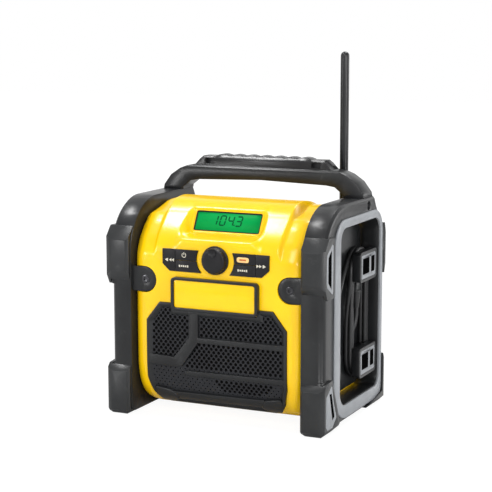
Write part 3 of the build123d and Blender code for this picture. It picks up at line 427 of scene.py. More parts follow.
def insetOutline(outline, distance):
    # each point moves along the mean of its two edges' inward normals (outline runs anticlockwise)
    ahead = np.roll(outline, -1, 0) - outline
    ahead /= np.maximum(np.linalg.norm(ahead, axis=1), 1e-9)[:, None]
    normal = np.stack([-ahead[:, 1], ahead[:, 0]], 1)
    mean = normal + np.roll(normal, 1, 0)
    mean /= np.maximum((mean * mean).sum(1), 1e-6)[:, None] / 2
    return outline + mean * distance


def anticlockwise(outline):
    x, y = outline[:, 0], outline[:, 1]
    area = (x * np.roll(y, -1) - np.roll(x, -1) * y).sum()
    return outline if area > 0 else outline[::-1]


def placeRings(outline, steps, place):
    # the outline at the given (distance inside it, height) steps; place turns (outline, height)
    # into 3-D points
    outer = anticlockwise(np.asarray(outline, float))
    return np.concatenate([place(insetOutline(outer, d), h) for d, h in steps])


def slab(outline, low, high, rounding, place, steps=4):
    # drawn in by r(1 - cos a) at the height high - r(1 - sin a), so the far edge is rounded
    angle = np.linspace(0, math.pi / 2, steps)
    draws = np.concatenate([[0], rounding * (1 - np.cos(angle))])
    heights = np.concatenate([[low], high - rounding * (1 - np.sin(angle))])
    points = placeRings(outline, zip(draws, heights), place)
    return points, tubeFaces(len(draws), len(outline))


def ringShape(outline, steps, place):
    faces = gridFaces(len(steps), len(outline), True, True).tolist()
    return placeRings(outline, steps, place), faces


def ball(centre, radius, rings=14, around=32, pole=0.06):
    # closed sphere: rings of points between two flat caps, pole radians from its ends
    polar = np.linspace(pole, math.pi - pole, rings)[:, None]
    turn = np.linspace(0, 2 * math.pi, around, endpoint=False)[None, :]
    points = np.stack([np.sin(polar) * np.cos(turn), np.sin(polar) * np.sin(turn),
                       np.broadcast_to(np.cos(polar), (rings, around))], -1).reshape(-1, 3)
    return points * radius + np.array(centre), tubeFaces(rings, around)


def joinShapes(shapes):
    points, faces, offset = [], [], 0
    for shapePoints, shapeFaces in shapes:
        points.append(shapePoints)
        faces += [[v + offset for v in face] for face in shapeFaces]
        offset += len(shapePoints)
    return np.concatenate(points), faces


# the axis that each side faces along, and which way
sides = {"front": (1, -1), "back": (1, 1), "left": (0, -1), "right": (0, 1)}


def onSide(side, level):
    # outline (x, z) on the front and the back, (y, z) on the left and the right; height is
    # measured out of the side from the level
    axis, sign = sides[side]

    def place(outline, height):
        columns = [outline[:, 0], outline[:, 1]]
        columns.insert(axis, np.full(len(outline), level + sign * height))
        return np.stack(columns, 1)
    return place


def smoothStep(value):
    t = np.clip(value, 0, 1)
    return t * t * (3 - 2 * t)


# the cord, as wound on its cleats

cordShape = {"diameter": 0.005, "length": 1.5, "cleatY": 54.0, "lowZ": 63.5, "highZ": 160.0,
             "inner": 20.7, "outer": 25.7, "near": 110.9, "far": 115.9,
             "firstAngle": 18, "angleStep": 36, "curveShare": 0.951}
leadRoute = [(115.3, 48.3, 118.0), (115.3, 48.3, 107.0), (114.3, 44.4, 96.5), (111.9, 37.2, 88.0),
             (110.9, 33.3, 77.5)]
tailRoute = [(110.9, 38.0, 181.7), (111.3, 22.0, 166.0), (112.2, 6.0, 149.0), (113.5, -9.0, 129.0),
             (114.7, -21.0, 115.0), (115.3, -26.0, 98.0)]


def windingPoints(shape):
    # turn k runs down the front, round the lower cleat, up the back and over the upper cleat;
    # control points on a circle of radius r / curveShare make a half turn of radius r
    turns = [(shape["inner"], shape["near"]), (shape["inner"], shape["far"]),
             (shape["outer"], shape["far"]), (shape["outer"], shape["near"])]
    cleat, low, high = shape["cleatY"], shape["lowZ"], shape["highZ"]
    halfTurn = np.radians(np.arange(shape["firstAngle"], 180, shape["angleStep"]))
    middle = (low + high) / 2
    route = []
    for k, (radius, across) in enumerate(turns):
        reach = radius / shape["curveShare"]
        rise = reach * math.sin(math.radians(shape["firstAngle"]))
        front, rear = cleat - radius, cleat + radius
        if k > 0:
            before, beforeAcross = turns[k - 1]
            route.append((beforeAcross, cleat - before, high - rise))
            route.append((across, front, middle))
        route.append((across, front, low + rise))
        route += [(across, cleat - reach * math.cos(a), low - reach * math.sin(a)) for a in halfTurn]
        route += [(across, rear, low + rise), (across, rear, middle), (across, rear, high - rise)]
        over = halfTurn[:3] if k == len(turns) - 1 else halfTurn
        route += [(across, cleat + reach * math.cos(a), high + reach * math.sin(a)) for a in over]
    return route


def addCord(shape):
    # a quadratic spline through the lead, the winding and the tail
    route = leadRoute + windingPoints(shape) + tailRoute
    curve = bpy.data.curves.new("powerCord", "CURVE")
    curve.dimensions = "3D"
    spline = curve.splines.new("NURBS")
    spline.points.add(len(route) - 1)
    for point, (x, y, z) in zip(spline.points, route):
        point.co = (x * mm, y * mm, z * mm, 1)
    spline.order_u = 3
    spline.use_endpoint_u = True
    spline.resolution_u = 8
    curve.bevel_depth = shape["diameter"] / 2
    curve.bevel_resolution = 4
    curve.use_fill_caps = True
    cord = newObject("powerCord", curve)
    curve.materials.append(materials["cordPvc"])
    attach(cord, "cabinet")
    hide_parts("power_cord_lead", "power_cord_winding", "power_cord_tail")


addCord(cordShape)
print("stage: cord wound")


# case shells

caseShape = {
    "half": 104.0, "roundStart": 86.0, "flatEnd": 41, "closeSteps": (42.5, 84, 1.0), "shell": 2.4,
    "humpLow": 76.0, "humpTop": 77.5, "humpBase": 200.0, "crest": 247.0, "humpBlend": 5.0,
    "scoopBottom": 206, "scoopTop": 238, "scoopLow": 55.0, "scoopHigh": 48.0, "scoopFloor": 41.5,
}

# (y, z) control points of the front half's cross-sections, listed point for point
caseUnder = [(-40, 8), (-54, 11), (-67, 18.5), (-76.5, 30), (-82, 44), (-84, 62), (-84, 120)]
edgeUnder = [(-36, 16), (-46, 19), (-57, 25), (-64, 34), (-69, 46), (-71.5, 62), (-72, 120)]
wingTop = [(-84, 180), (-84, 184), (-83.4, 188.5), (-79.5, 197), (-75.5, 204.4), (-69, 212),
           (-61.5, 220.5), (-56.5, 224.5), (-53, 227.3), (-50, 229.2), (-46.5, 230.4),
           (-31, 233.2), (-18, 236.5), (-6, 241.3), (20, 240)]
crestEnd = [(-36, 244), (-22, 246), (-8, 246.4), (20, 241.5)]
humpTop = [(-84, 184), (-84, 190), (-82.8, 197), (-79.5, 204), (-72, 213.2), (-64, 221),
           (-58, 226.4), (-54, 230), (-51, 233.2), (-48.5, 235.3), (-45, 238)] + crestEnd
scoopTop = [(-84, 184), (-84, 194), (-84, 203), (-82.4, 206.2), (-76, 207.6), (-66, 209.3),
            (-59.6, 210.6), (-58.4, 213), (-47.6, 232.8), (-47, 235.2), (-48.6, 236.8)] + crestEnd
edgeTop = [(-72, 172), (-72, 177), (-71.6, 181.5), (-70, 189), (-67, 197), (-62, 204.5),
           (-55.5, 212.8), (-51, 217), (-48, 219.8), (-45.5, 221.6), (-42.5, 223.2),
           (-29, 226.6), (-17, 229), (-5, 231.6), (20, 230.6)]
# three equal points hold a sharp corner at the seam between the front and the rear
seamLow, seamHigh = [(52, 8)] * 3, [(52, 222)] * 3
edgeLow, edgeHigh = [(52, 16)] * 3, [(52, 212)] * 3
wingLine = seamLow + caseUnder + wingTop + seamHigh
humpLine = seamLow + caseUnder + humpTop + seamHigh
scoopLine = seamLow + caseUnder + scoopTop + seamHigh
edgeLine = edgeLow + edgeUnder + edgeTop + edgeHigh
rearLine = seamLow + seamHigh + [(84, 213), (88, 206), (88, 200), (88, 24), (88, 16), (82, 8)]
rearEdge = edgeLow + edgeHigh + [(78, 204), (82, 197), (82, 190), (82, 30), (82, 22), (76, 16)]


def smoothLoop(points, rounds=3):
    # corner cutting: every edge keeps its points at a quarter and three quarters
    line = np.array(points, float)
    for _ in range(rounds):
        ahead = np.roll(line, -1, 0)
        line = np.stack([line * 0.75 + ahead * 0.25, line * 0.25 + ahead * 0.75], 1)
        line = line.reshape(-1, 2)
    return line


def shellColumns(shape):
    # x positions: quarter-circle spacing where the sides round over, close steps where the
    # scoop and the hump fall away
    turn = np.linspace(0, math.pi / 2, 10)
    arc = shape["roundStart"] + (shape["half"] - shape["roundStart"]) * np.sin(turn)
    flat = np.linspace(0, shape["flatEnd"], 6)
    half = np.concatenate([flat, np.arange(*shape["closeSteps"]), arc])
    return np.concatenate([-half[:0:-1], half])


def widthShare(across, width, fall):
    # 1 inside the width, 0 outside it, with a smooth fall between
    return smoothStep((width[None, :] - np.abs(across)[:, None]) / fall)


def caseSurface(shape, middle, edge, hump=None, scoop=None):
    # P(x, s) = middle(s) + H (crown(s) - middle(s)) + D (edge(s) - middle(s)), with D = 1 - cos a
    # on the rounded side x = start + (half - start) sin a; H steps down at the hump's flank, and
    # crown(s) is the hump, or the display's scoop between its side walls
    x = shellColumns(shape)
    mid, side = smoothLoop(middle), smoothLoop(edge)
    sine = np.clip((np.abs(x) - shape["roundStart"]) / (shape["half"] - shape["roundStart"]), 0, 1)
    drop = 1 - np.sqrt(1 - sine ** 2)
    section = np.broadcast_to(mid, (len(x),) + mid.shape).copy()
    if hump:
        top, bowl = smoothLoop(hump), smoothLoop(scoop)
        wall = np.interp(top[:, 1], [shape["scoopBottom"], shape["scoopTop"]],
                         [shape["scoopLow"], shape["scoopHigh"]])
        crown = top + widthShare(x, wall, wall - shape["scoopFloor"])[:, :, None] * (bowl - top)
        width = np.interp(top[:, 1], [shape["humpBase"], shape["crest"]],
                          [shape["humpLow"], shape["humpTop"]])
        share = widthShare(x, width + shape["humpBlend"] / 2, shape["humpBlend"])
        section += share[:, :, None] * (crown - mid)
    section += drop[:, None, None] * (side[None] - section)
    across = np.broadcast_to(x[:, None, None], section.shape[:2] + (1,))
    points = np.concatenate([across, section], 2).reshape(-1, 3)
    return points, tubeFaces(len(x), len(mid))


# steps: (distance inside, height)
displayShape = {
    "tilt": 28.0, "middle": (-52.0, 222.5), "openHalf": 40.6, "openHeight": 12.1, "corner": 2.6,
    "cut": (-7, 4), "frameGrow": 0.4, "lipGrow": 3.4,
    "frameSteps": [(0, -3.2), (0, 0.6), (0.2, 0.8), (1.5, 0.8), (1.8, 0.5), (2.0, -0.2), (2.0, -3.2)],
    "lipSteps": [(0, -0.8), (0, 1.0), (0.3, 1.6), (0.9, 2.1), (1.5, 2.2), (2.1, 2.0), (2.6, 1.5),
                 (2.9, 0.9), (3.0, -0.8)],
}


def displayPlace(outline, height):
    # (u, v) on the display face, height measured out of it
    tilt = math.radians(displayShape["tilt"])
    y0, z0 = displayShape["middle"]
    y = y0 + outline[:, 1] * math.sin(tilt) - height * math.cos(tilt)
    z = z0 + outline[:, 1] * math.cos(tilt) + height * math.sin(tilt)
    return np.stack([outline[:, 0], y, z], 1)


def rectangle(x0, z0, x1, z1):
    return np.array([(x0, z0), (x1, z0), (x1, z1), (x0, z1)], float)


def displayOpening(shape, grow=0.0):
    half, high = shape["openHalf"] + grow, shape["openHeight"] + grow
    return roundedOutline(rectangle(-half, -high, half, high), shape["corner"] + grow)


def addDisplayFrame(shape):
    # dark surround that steps in over the window's edge, partly a real frame and partly painted shade
    # for the recess's shadow round the window, and the moulded lip round it
    frameAndShadeRing = ringShape(displayOpening(shape, shape["frameGrow"]), shape["frameSteps"],
                          displayPlace)
    newPiece("displayFrameAndShade", *frameAndShadeRing, "keyBlack")
    lipRing = ringShape(displayOpening(shape, shape["lipGrow"]), shape["lipSteps"], displayPlace)
    newPiece("displayBezel", *lipRing, "yellowShell", "yellow_plastic")


# cuts in the front case: its front and left faces, and (low, high) heights out of them
frontCuts = {"face": -84.0, "side": -104.0, "wellInset": 3.4, "well": (-34, 11),
             "tongue": (-5.5, 11), "mouth": (-9, 9), "mouthHeights": (42, 192)}
tongueShape = {"tip": 89.0, "root": 106.0, "height": 157.0, "radius": 15.0}


def addCaseFront(shape, cuts):
    points, faces = caseSurface(shape, wingLine, edgeLine, humpLine, scoopLine)
    case = newPiece("caseFront", points, faces, "yellowShell", "yellow_plastic")
    thicken(case, shape["shell"], -1)
    carve(case, displayOpening(displayShape), *displayShape["cut"], displayPlace)
    face = onSide("front", cuts["face"])
    well = insetOutline(grilleElevation, cuts["wellInset"])
    carve(case, well, *cuts["well"], face)
    for side in (-1, 1):
        carve(case, tongueOutline(side, tongueShape), *cuts["tongue"], face)
    boxLow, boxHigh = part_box("storage_box")
    low, high = cuts["mouthHeights"]
    mouth = rectangle(boxLow.y / mm, low, boxHigh.y / mm, high)
    carve(case, mouth, *cuts["mouth"], onSide("left", cuts["side"]))
    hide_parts("front_case")


def tongueOutline(side, shape):
    # seat of the frame's round-ended tongue: x = tip - r cos a, z = height + r sin a
    angle = np.linspace(math.pi / 2, -math.pi / 2, 17)
    bend = np.stack([shape["tip"] - shape["radius"] * np.cos(angle),
                     shape["height"] + shape["radius"] * np.sin(angle)], 1)
    low, high = shape["height"] - shape["radius"], shape["height"] + shape["radius"]
    return np.concatenate([bend, [(shape["root"], low), (shape["root"], high)]]) * (side, 1)


rearShape = {"bayHalf": 42.0, "bayBottom": 64.0, "bayTop": 240, "bayDepth": 24.0,
             "bayCorners": [3, 3, 0.1, 0.1], "back": 88.0, "outside": 9,
             "screwX": 92.0, "screwZ": (25.0, 200.0), "counterbore": 4.8, "boreDepth": 6.2}


def addCaseRear(shape, rear):
    points, faces = caseSurface(shape, rearLine, rearEdge)
    case = newPiece("caseRear", points, faces, "yellowShell", "yellow_plastic")
    back, outside = onSide("back", rear["back"]), rear["outside"]
    corners = rectangle(-rear["bayHalf"], rear["bayBottom"], rear["bayHalf"], rear["bayTop"])
    bay = roundedOutline(corners, rear["bayCorners"])
    carve(case, bay, -rear["bayDepth"], outside, back)
    angle = np.linspace(0, 2 * math.pi, 32, endpoint=False)
    bore = np.stack([np.cos(angle), np.sin(angle)], 1) * rear["counterbore"]
    for x in (-rear["screwX"], rear["screwX"]):
        for z in rear["screwZ"]:
            carve(case, bore + (x, z), -rear["boreDepth"], outside, back)
    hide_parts("rear_case")


# speaker grille

grilleShape = {"pitch": 6.0, "row": 3.65, "columns": 15, "hole": 1.95, "dimple": 0.8, "inset": 3.0,
               "lift": -1.1, "sheet": 0.9, "merge": 2e-5, "bend": 62.0}
# (y, z) down the front
bellyLine = np.array([(-84, 140), (-84, 70), (-83.9, 62), (-83.4, 54), (-82.2, 44), (-80, 36.5),
                      (-76.8, 30), (-72.6, 24), (-67.3, 18.8), (-61, 14.6), (-54, 11), (-46, 9)])
bellyLength = np.concatenate([[0], np.cumsum(np.linalg.norm(np.diff(bellyLine, axis=0), axis=1))])


def lengthAt(z):
    # arc length down the front, from the line's top to the height z
    return np.interp(z, bellyLine[::-1, 1], bellyLength[::-1])


def arcHeight(z):
    # the h of a point at height z on the front of the case: arc length up from the bend
    return lengthAt(grilleShape["bend"]) - lengthAt(z)


def bellyPlace(outline, height):
    # (x, h) on the front, height out of the surface along its normal (tz, -ty)
    arc = lengthAt(grilleShape["bend"]) - outline[:, 1]
    y, z = (np.interp(arc, bellyLength, bellyLine[:, k]) for k in (0, 1))
    slope = np.gradient(bellyLine, bellyLength, axis=0)
    ty, tz = (np.interp(arc, bellyLength, slope[:, k]) for k in (0, 1))
    size = np.hypot(ty, tz)
    return np.stack([outline[:, 0], y + height * tz / size, z - height * ty / size], 1)


# the grille's outline: (x, z) as seen square from the front, and (x, arc height)
grilleHalf = [(66, 16), (81, 27), (86, 46), (86, 112), (69.5, 133), (50.5, 133), (50.5, 125.5)]
grilleElevation = np.array(grilleHalf + [(-x, z) for x, z in reversed(grilleHalf)])
grilleOutline = np.stack([grilleElevation[:, 0], arcHeight(grilleElevation[:, 1])], 1)


def insideOutline(points, outline):
    # even-odd rule: how many edges a ray along +x crosses
    inside = np.zeros(len(points), bool)
    for (x0, h0), (x1, h1) in zip(outline, np.roll(outline, -1, 0)):
        crosses = (h0 > points[:, 1]) != (h1 > points[:, 1])
        at = x0 + (points[:, 1] - h0) / (h1 - h0 if h1 != h0 else 1) * (x1 - x0)
        inside ^= crosses & (points[:, 0] < at)
    return inside


def subdivided(outline, longest=4.0):
    # extra points on long edges, so that a plate can follow a curved surface
    runs = []
    for a, b in zip(outline, np.roll(outline, -1, 0)):
        count = max(1, int(np.ceil(np.linalg.norm(b - a) / longest)))
        runs.append(a + (b - a) * np.arange(count)[:, None] / count)
    return np.concatenate(runs)


# the panels between the ribs that have full holes, (x, h)
openPanels = [
    [(-79, 8), (-52, 8), (-34, 32), (-34, 70), (-66, 70), (-79, 52)],
    [(-20, 36), (82, 36), (82, 50), (66, 68), (-20, 68)],
    [(-42, -3), (82, -3), (82, 26.5), (-23, 26.5)],
    [(-9, -11), (71, -11), (56, -26), (6, -26)],
]


def addGrilleMesh(shape):
    # rhombus cells (half diagonals pitch / 2 and row) tile the sheet, each with an eight-sided
    # hole whose radius is smaller outside the open panels
    outline = insetOutline(grilleOutline, shape["inset"])
    rows = np.arange(int(outline[:, 1].min() / shape["row"]),
                     int(outline[:, 1].max() / shape["row"]) + 1)
    columns = np.arange(-shape["columns"], shape["columns"] + 1)
    r, c = (m.ravel() for m in np.meshgrid(rows, columns, indexing="ij"))
    centres = np.stack([(c + 0.5 * (r % 2)) * shape["pitch"], r * shape["row"]], 1)
    centres = centres[insideOutline(centres, outline)]
    opened = np.any([insideOutline(centres, panel) for panel in openPanels], axis=0)
    radius = np.where(opened, shape["hole"], shape["dimple"])
    cell = np.array([(2, 0), (1, 1), (0, 2), (-1, 1), (-2, 0), (-1, -1), (0, -2), (1, -1)])
    corners = len(cell)
    angle = np.radians(np.arange(0, 360, 360 // corners))
    hole = np.stack([np.cos(angle), np.sin(angle)], 1) * radius[:, None, None]
    rims = centres[:, None] + cell * (shape["pitch"] / 4, shape["row"] / 2)
    flat = np.concatenate([rims, centres[:, None] + hole], 1).reshape(-1, 2)
    near = np.arange(corners)
    ahead = (near + 1) % corners
    quads = np.stack([near, ahead, ahead + corners, near + corners], 1)
    first = np.arange(len(centres))[:, None, None] * 2 * corners
    sheet = newPiece("grilleMesh", bellyPlace(flat, shape["lift"]),
                     (quads + first).reshape(-1, 4).tolist(), "meshBlack", merge=shape["merge"])
    thicken(sheet, shape["sheet"], 0)
    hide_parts("speaker_grille")


# the cloth's half widths at some heights follow the inside of the grille's frame
clothShape = {"inset": 1.5, "top": 131, "rows": 28, "across": 9, "levels": (-3.4, -2.6),
              "heights": (16, 27, 46, 112, 133), "halves": (64, 79, 84, 84, 67.5)}


def addGrilleCloth(shape):
    # a thin closed sheet behind the holes: two grids of points, and quads round their rim
    low = insetOutline(subdivided(grilleOutline), shape["inset"])[:, 1].min() + 1
    rows, across = shape["rows"], shape["across"]
    h = np.linspace(low, arcHeight(shape["top"]), rows)[:, None]
    half = np.interp(h, [arcHeight(z) for z in shape["heights"]], shape["halves"])
    grid = np.stack([np.linspace(-1, 1, across) * half, np.broadcast_to(h, (rows, across))], -1)
    flat = grid.reshape(-1, 2)
    sheets = [bellyPlace(flat, level) for level in shape["levels"]]
    quads, last = gridFaces(rows, across), across - 1
    rim = np.concatenate([np.arange(across), np.arange(1, rows) * across + last,
                          (rows - 1) * across + np.arange(last - 1, -1, -1),
                          np.arange(rows - 2, 0, -1) * across])
    ahead, count = np.roll(rim, -1), len(flat)
    edge = np.stack([rim, ahead, ahead + count, rim + count], 1)
    faces = np.concatenate([quads, quads + count, edge]).tolist()
    newPiece("grilleCloth", np.concatenate(sheets), faces, "clothBlack")


# border: (distance inside the outline, height) steps; ribs and lobe: corners (x, h); levels:
# low, high and rounding
barShape = {
    "border": [(0, -1.2), (0, 1.5), (0.25, 2.1), (0.8, 2.4), (2.6, 2.4), (3.1, 2.2), (6.2, -0.9),
               (6.2, -1.6)],
    "ribs": [
        [(-32.5, 70), (-32.5, 33.5), (-51.5, 9.5), (-84, 11), (-84, -1), (-46, -1), (-41, 0.5),
         (-21.5, 28), (-21.5, 70)],
        [(-23, 34.3), (84, 34.3), (84, 27.8), (-23, 27.8)],
        [(-38, -5), (84, -4), (84, -10), (-38, -10.5)],
        [(-58, -33), (56, -31), (60, -36), (60, -43), (-62, -45), (-62, -38)],
    ],
    "ribCorner": 0.8, "ribLevels": (-1.6, 2.2, 0.8),
    "lobe": [(50, -43), (58, -31), (78, -27), (80, -38), (74, -49), (62, -51)],
    "lobeCorner": 4.0, "lobeLevels": (-0.8, 3.0, 1.4),
}


def barOnBelly(corners, radius, levels):
    outline = subdivided(roundedOutline(corners, radius, 3), 5.0)
    return slab(outline, *levels, bellyPlace)


def addGrilleFrame(shape):
    shapes = [ringShape(subdivided(grilleOutline), shape["border"], bellyPlace)]
    shapes += [barOnBelly(rib, shape["ribCorner"], shape["ribLevels"]) for rib in shape["ribs"]]
    lobe = np.array(shape["lobe"])
    shapes += [barOnBelly(lobe * (side, 1), shape["lobeCorner"], shape["lobeLevels"])
               for side in (-1, 1)]
    newPiece("grilleFrame", *joinShapes(shapes), "blackShell")


addCaseFront(caseShape, frontCuts)
addDisplayFrame(displayShape)
addCaseRear(caseShape, rearShape)
print("stage: case shells")
addGrilleMesh(grilleShape)
addGrilleCloth(clothShape)
addGrilleFrame(barShape)
print("stage: grille")


# knob, display, key marks

# profile: (radius, y, share of the ridges)
knobShape = {
    "height": 184.3, "ridges": 28, "ridgeSteps": 6, "ridgeDepth": 0.35,
    "profile": [(0, -92.0, 0), (6, -92.05, 0), (10.9, -92.3, 0), (12.6, -92.2, 0.1),
                (13.7, -91.5, 0.5), (14.3, -90.2, 1), (14.6, -88.4, 1), (14.9, -86.8, 1),
                (15.0, -86.6, 0.3), (15.9, -86.3, 0), (16, -85.9, 0), (16, -84.5, 0),
                (15.4, -84.4, 0), (0, -84.4, 0)],
    "dimple": (0, -96.9, 193.1), "dimpleRadius": 7.1,
}


def addKnob(shape):
    # lathe: radius(s) about the knob's axis, drawn in by the ridges on its side:
    # r = radius(s) - depth(s) (0.5 + 0.5 cos(ridges a))
    bare, level, share = np.array(shape["profile"], float).T[:, :, None]
    angle = np.linspace(0, 2 * math.pi, shape["ridges"] * shape["ridgeSteps"], endpoint=False)
    ridge = 0.5 + 0.5 * np.cos(shape["ridges"] * angle)
    radius = bare - share * shape["ridgeDepth"] * ridge
    points = np.stack([radius * np.cos(angle), np.broadcast_to(level, radius.shape),
                       shape["height"] + radius * np.sin(angle)], -1)
    faces = gridFaces(len(bare), len(angle), closeColumns=True).tolist()
    knob = newPiece("knobCap", points.reshape(-1, 3), faces, "keyBlack", body="knob")
    cutOut(knob, *ball(shape["dimple"], shape["dimpleRadius"]))
    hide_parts("tuning_knob")


digitBars = {"0": "abcdef", "1": "bc", "3": "abgcd", "4": "fgbc"}
digitShape = {"height": 11.2, "width": 6.2, "thick": 1.7, "shoulder": 0.55, "gap": 0.1,
              "slant": 0.10, "start": -20.4, "advance": 10.0, "base": -3.8, "ink": 0.12,
              "dot": (-0.9, 0, 0.6, 1.5), "dotBack": 1.6}
inkGap = 0.02


def inkSlab(outline, high, place):
    # print of the given height, from just over the surface
    return slab(outline, inkGap, high, inkGap, place, 2)


def segmentStroke(x0, v0, x1, v1, shape):
    # one bar of a seven-segment figure, with pointed ends
    start, end = np.array((x0, v0), float), np.array((x1, v1), float)
    along = (end - start) / np.linalg.norm(end - start)
    across = np.array((-along[1], along[0])) * shape["thick"] / 2
    a = start + along * shape["thick"] * shape["shoulder"]
    b = end - along * shape["thick"] * shape["shoulder"]
    gap = along * shape["gap"]
    return np.array([start + gap, a + across, b + across, end - gap, b - across, a - across])


def addDigits(text, shape):
    w, h = shape["width"], shape["height"]
    bars = {"a": (0, h, w, h), "b": (w, h, w, h / 2), "c": (w, h / 2, w, 0), "d": (0, 0, w, 0),
            "e": (0, h / 2, 0, 0), "f": (0, h, 0, h / 2), "g": (0, h / 2, w, h / 2)}
    shapes, x = [], shape["start"]
    for figure in text:
        if figure == ".":
            dot = rectangle(*shape["dot"]) + (x - shape["dotBack"], shape["base"])
            shapes.append(inkSlab(dot, shape["ink"], displayPlace))
            continue
        for bar in digitBars[figure]:
            stroke = segmentStroke(*bars[bar], shape)
            stroke[:, 0] += stroke[:, 1] * shape["slant"] + x
            stroke[:, 1] += shape["base"]
            shapes.append(inkSlab(stroke, shape["ink"], displayPlace))
        x += shape["advance"]
    newPiece("displayDigits", *joinShapes(shapes), "digitBlack")


markShape = {
    "face": -86.2, "ink": 0.14, "arrow": 3.0, "arrowTips": (61.6, 56.6, 53.4), "arrowRise": 0.62,
    "arrowHeight": 181.8, "arrowBar": 58.2, "barSize": (0.8, 3.4), "power": (-38.0, 188.0),
    "ringAngles": (125, 415), "ringRadii": (2.7, 2.0), "stemRise": 1.9, "stemSize": (0.8, 2.6),
    "lowRow": 175.7, "tick": 1.7, "tickHeights": (2.4, 1.7, 2.1, 1.7, 2.4), "tickGap": 2.5,
    "pill": (34.0, 187.4), "pillHalf": (7.2, 2.9), "pillLevels": (-0.3, 0.35, 0.2),
    "spotShare": (1.15, 0.62), "spotLevels": (0.36, 0.45, 0.0),
}


def barMark(x, z, wide, high):
    return rectangle(x - wide / 2, z - high / 2, x + wide / 2, z + high / 2)


def printMarks(name, outlines, body):
    place = onSide("front", markShape["face"])
    shapes = [inkSlab(outline, markShape["ink"], place) for outline in outlines]
    newPiece(name, *joinShapes(shapes), "iconPrint", "grey_plastic", body)


def addSeekMarks(shape):
    # three arrow heads and a bar, mirrored on the two keys
    level, size = shape["arrowHeight"], shape["arrow"]
    rise = size * shape["arrowRise"]
    head = np.array([(0, 0), (-size, rise), (-size, -rise)])
    for side, name, body in ((-1, "seekBackMark", "seek_back_button"),
                             (1, "seekForwardMark", "seek_forward_button")):
        marks = [(head + (tip, level)) * (side, 1) for tip in shape["arrowTips"]]
        printMarks(name, marks + [barMark(side * shape["arrowBar"], level, *shape["barSize"])], body)


def addKeyMarks(shape):
    centre = np.array(shape["power"])
    angle = np.radians(np.linspace(*shape["ringAngles"], 24))
    ring = np.stack([np.cos(angle), np.sin(angle)], 1)
    outer, inner = shape["ringRadii"]
    arc = np.concatenate([centre + ring * outer, centre + ring[::-1] * inner])
    stem = barMark(centre[0], centre[1] + shape["stemRise"], *shape["stemSize"])
    printMarks("powerMark", [arc, stem], "power_button")
    for name, body, middle in (("modeMark", "mode_button", -38.5),
                               ("presetMark", "preset_button", 33.5)):
        count = len(shape["tickHeights"])
        ticks = [barMark(middle + (k - (count - 1) / 2) * shape["tickGap"], shape["lowRow"],
                         shape["tick"], high) for k, high in enumerate(shape["tickHeights"])]
        printMarks(name, ticks, body)
    x, z = shape["pill"]
    half, high = shape["pillHalf"]
    wideShare, highShare = shape["spotShare"]
    place = onSide("front", shape["face"])
    pill = roundedOutline(barMark(x, z, 2 * half, 2 * high), high * 0.9, 7)
    newPiece("bandPill", *slab(pill, *shape["pillLevels"], place), "pillOrange", "orange_plastic",
             "band_button")
    spot = roundedOutline(barMark(x, z, half * wideShare, high * highShare), 0.8)
    newPiece("bandMark", *slab(spot, *shape["spotLevels"], place, 2), "iconDark", body="band_button")


doorShape = {
    "face": -108.5, "panel": (-26.0, 50.0, 38.0, 186.0), "corner": 5.0,
    "border": [(0, -0.3), (0, 0.5), (0.3, 0.8), (1.5, 0.8), (1.8, 0.5), (1.8, -0.3)],
    "middle": 6.0, "ledge": 176.0, "ledgeHalf": (15.0, 3.2), "ledgeLevels": (-0.3, 2.0, 0.9),
    "bars": (70.0, 76.0, 82.0, 88.0), "barHigh": 2.4, "barLevels": (-0.3, 0.9, 0.5),
}


def addDoorTrim(shape):
    # raised border, finger ledge and grip bars on the storage door
    place = onSide("left", shape["face"])
    border = roundedOutline(rectangle(*shape["panel"]), shape["corner"])
    middle, (half, high) = shape["middle"], shape["ledgeHalf"]
    ledge = roundedOutline(barMark(middle, shape["ledge"], 2 * half, 2 * high), high * 0.9, 6)
    bars = [roundedOutline(barMark(middle, z, 2 * half, shape["barHigh"]), 1.1, 4)
            for z in shape["bars"]]
    shapes = [ringShape(border, shape["border"], place), slab(ledge, *shape["ledgeLevels"], place)]
    shapes += [slab(bar, *shape["barLevels"], place, 3) for bar in bars]
    newPiece("doorTrim", *joinShapes(shapes), "blackShell", body="door")


shadeShape = {
    "levels": (-0.2, 0.04, 0.02), "capLevel": 128.0, "capMiddles": (56.2, 167.3),
    "capWindows": ((35.3, 55.7), (62.3, 72.7)), "capLow": -8.4, "capHigh": 9.4, "slotLevel": 133.5,
    "slots": [[(-75.3, 203.4), (-84.1, 195.9), (-84.1, 169.1), (-75.3, 160.6)],
              [(-77.7, 45.7), (-72.2, 45.7), (-63.4, 18.3), (-69, 15.5)]],
}


def addShades(shape):
    # painted shade: thin black fillings, a little proud of the cleat caps and of the bumper inlays
    # they lie in, standing in for the shade in the caps' windows and the inlays' slots
    windows = [rectangle(y0, z + shape["capLow"], y1, z + shape["capHigh"])
               for z in shape["capMiddles"] for y0, y1 in shape["capWindows"]]
    level = shape["slotLevel"]
    for name, outlines, places in (
            ("capPaintedShade", windows, [onSide("right", shape["capLevel"])]),
            ("slotPaintedShade", shape["slots"], [onSide("right", level), onSide("left", -level)])):
        shapes = [slab(outline, *shape["levels"], place, 2)
                  for outline in outlines for place in places]
        newPiece(name, *joinShapes(shapes), "deepBlack")


addDoorTrim(doorShape)
addShades(shadeShape)
addKnob(knobShape)
addDigits("104.3", digitShape)
addSeekMarks(markShape)
addKeyMarks(markShape)
print("stage: controls")


# carried-over nodes: soft edges and finishes

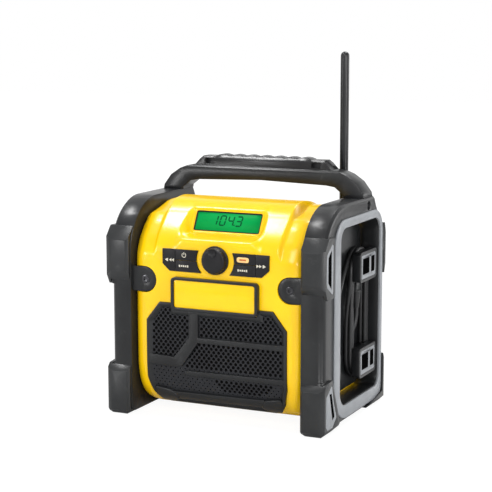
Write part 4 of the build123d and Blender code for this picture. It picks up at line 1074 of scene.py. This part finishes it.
nodeFinishes = {
    "blackShell": "badge_frame handle_bar right_side_frame left_side_frame cord_wrap_plate "
                  "upper_cleat lower_cleat storage_box storage_door antenna_base battery_dock "
                  "rotary_encoder aux_jack antenna_whip",
    "keyBlack": "power_key mode_key preset_key seek_back_key seek_forward_key band_key",
    "gripRubber": "handle_grip key_mat",
    "bumperRubber": " ".join(n for n in nodes if n.endswith("_bumper")),
    "cordPvc": "mains_plug cord_strain_relief",
    "inlayGrey": "right_frame_inlay left_frame_inlay bumper_inlays cleat_caps",
    "yellowShell": "badge_plate",
    "screwBlack": "handle_screws frame_screws case_screws",
    "screwSteel": "encoder_shaft antenna_pin left_speaker_driver right_speaker_driver "
                  "transformer lcd_module",
    "contactBrass": "plug_blades battery_terminals",
    "boardGreen": "control_board main_board",
    "clothBlack": "left_speaker_cone right_speaker_cone",
    "displayGreen": "lcd_window",
}
edgeWidths = {
    "right_side_frame": 1.4, "left_side_frame": 1.4, "handle_bar": 1.6, "handle_grip": 1.2,
    "badge_frame": 0.8, "badge_plate": 0.6, "upper_cleat": 1.2, "lower_cleat": 1.2,
    "right_frame_inlay": 0.6, "left_frame_inlay": 0.6, "cleat_caps": 0.5, "bumper_inlays": 0.4,
    "mains_plug": 0.8, "storage_door": 1.0, "lcd_window": 0.0,
}
edgeRule = {"bumper": 1.2, "other": 0.35, "segments": 2, "degrees": 28, "weld": 1e-5}


def finishNode(name, finish, rule):
    node = nodes[name]
    node.data.materials.clear()
    node.data.materials.append(materials[finish])
    node.data.polygons.foreach_set("use_smooth", np.ones(len(node.data.polygons), bool))
    width = edgeWidths.get(name, rule["bumper" if name.endswith("_bumper") else "other"])
    weld = node.modifiers.new("weld", "WELD")
    weld.merge_threshold = rule["weld"]
    if width:
        edge = node.modifiers.new("softEdge", "BEVEL")
        edge.width = width * mm
        edge.segments = rule["segments"]
        edge.limit_method = "ANGLE"
        edge.angle_limit = math.radians(rule["degrees"])
        edge.harden_normals = True


for finishName, members in nodeFinishes.items():
    for member in members.split():
        finishNode(member, finishName, edgeRule)
print("stage: nodes finished")
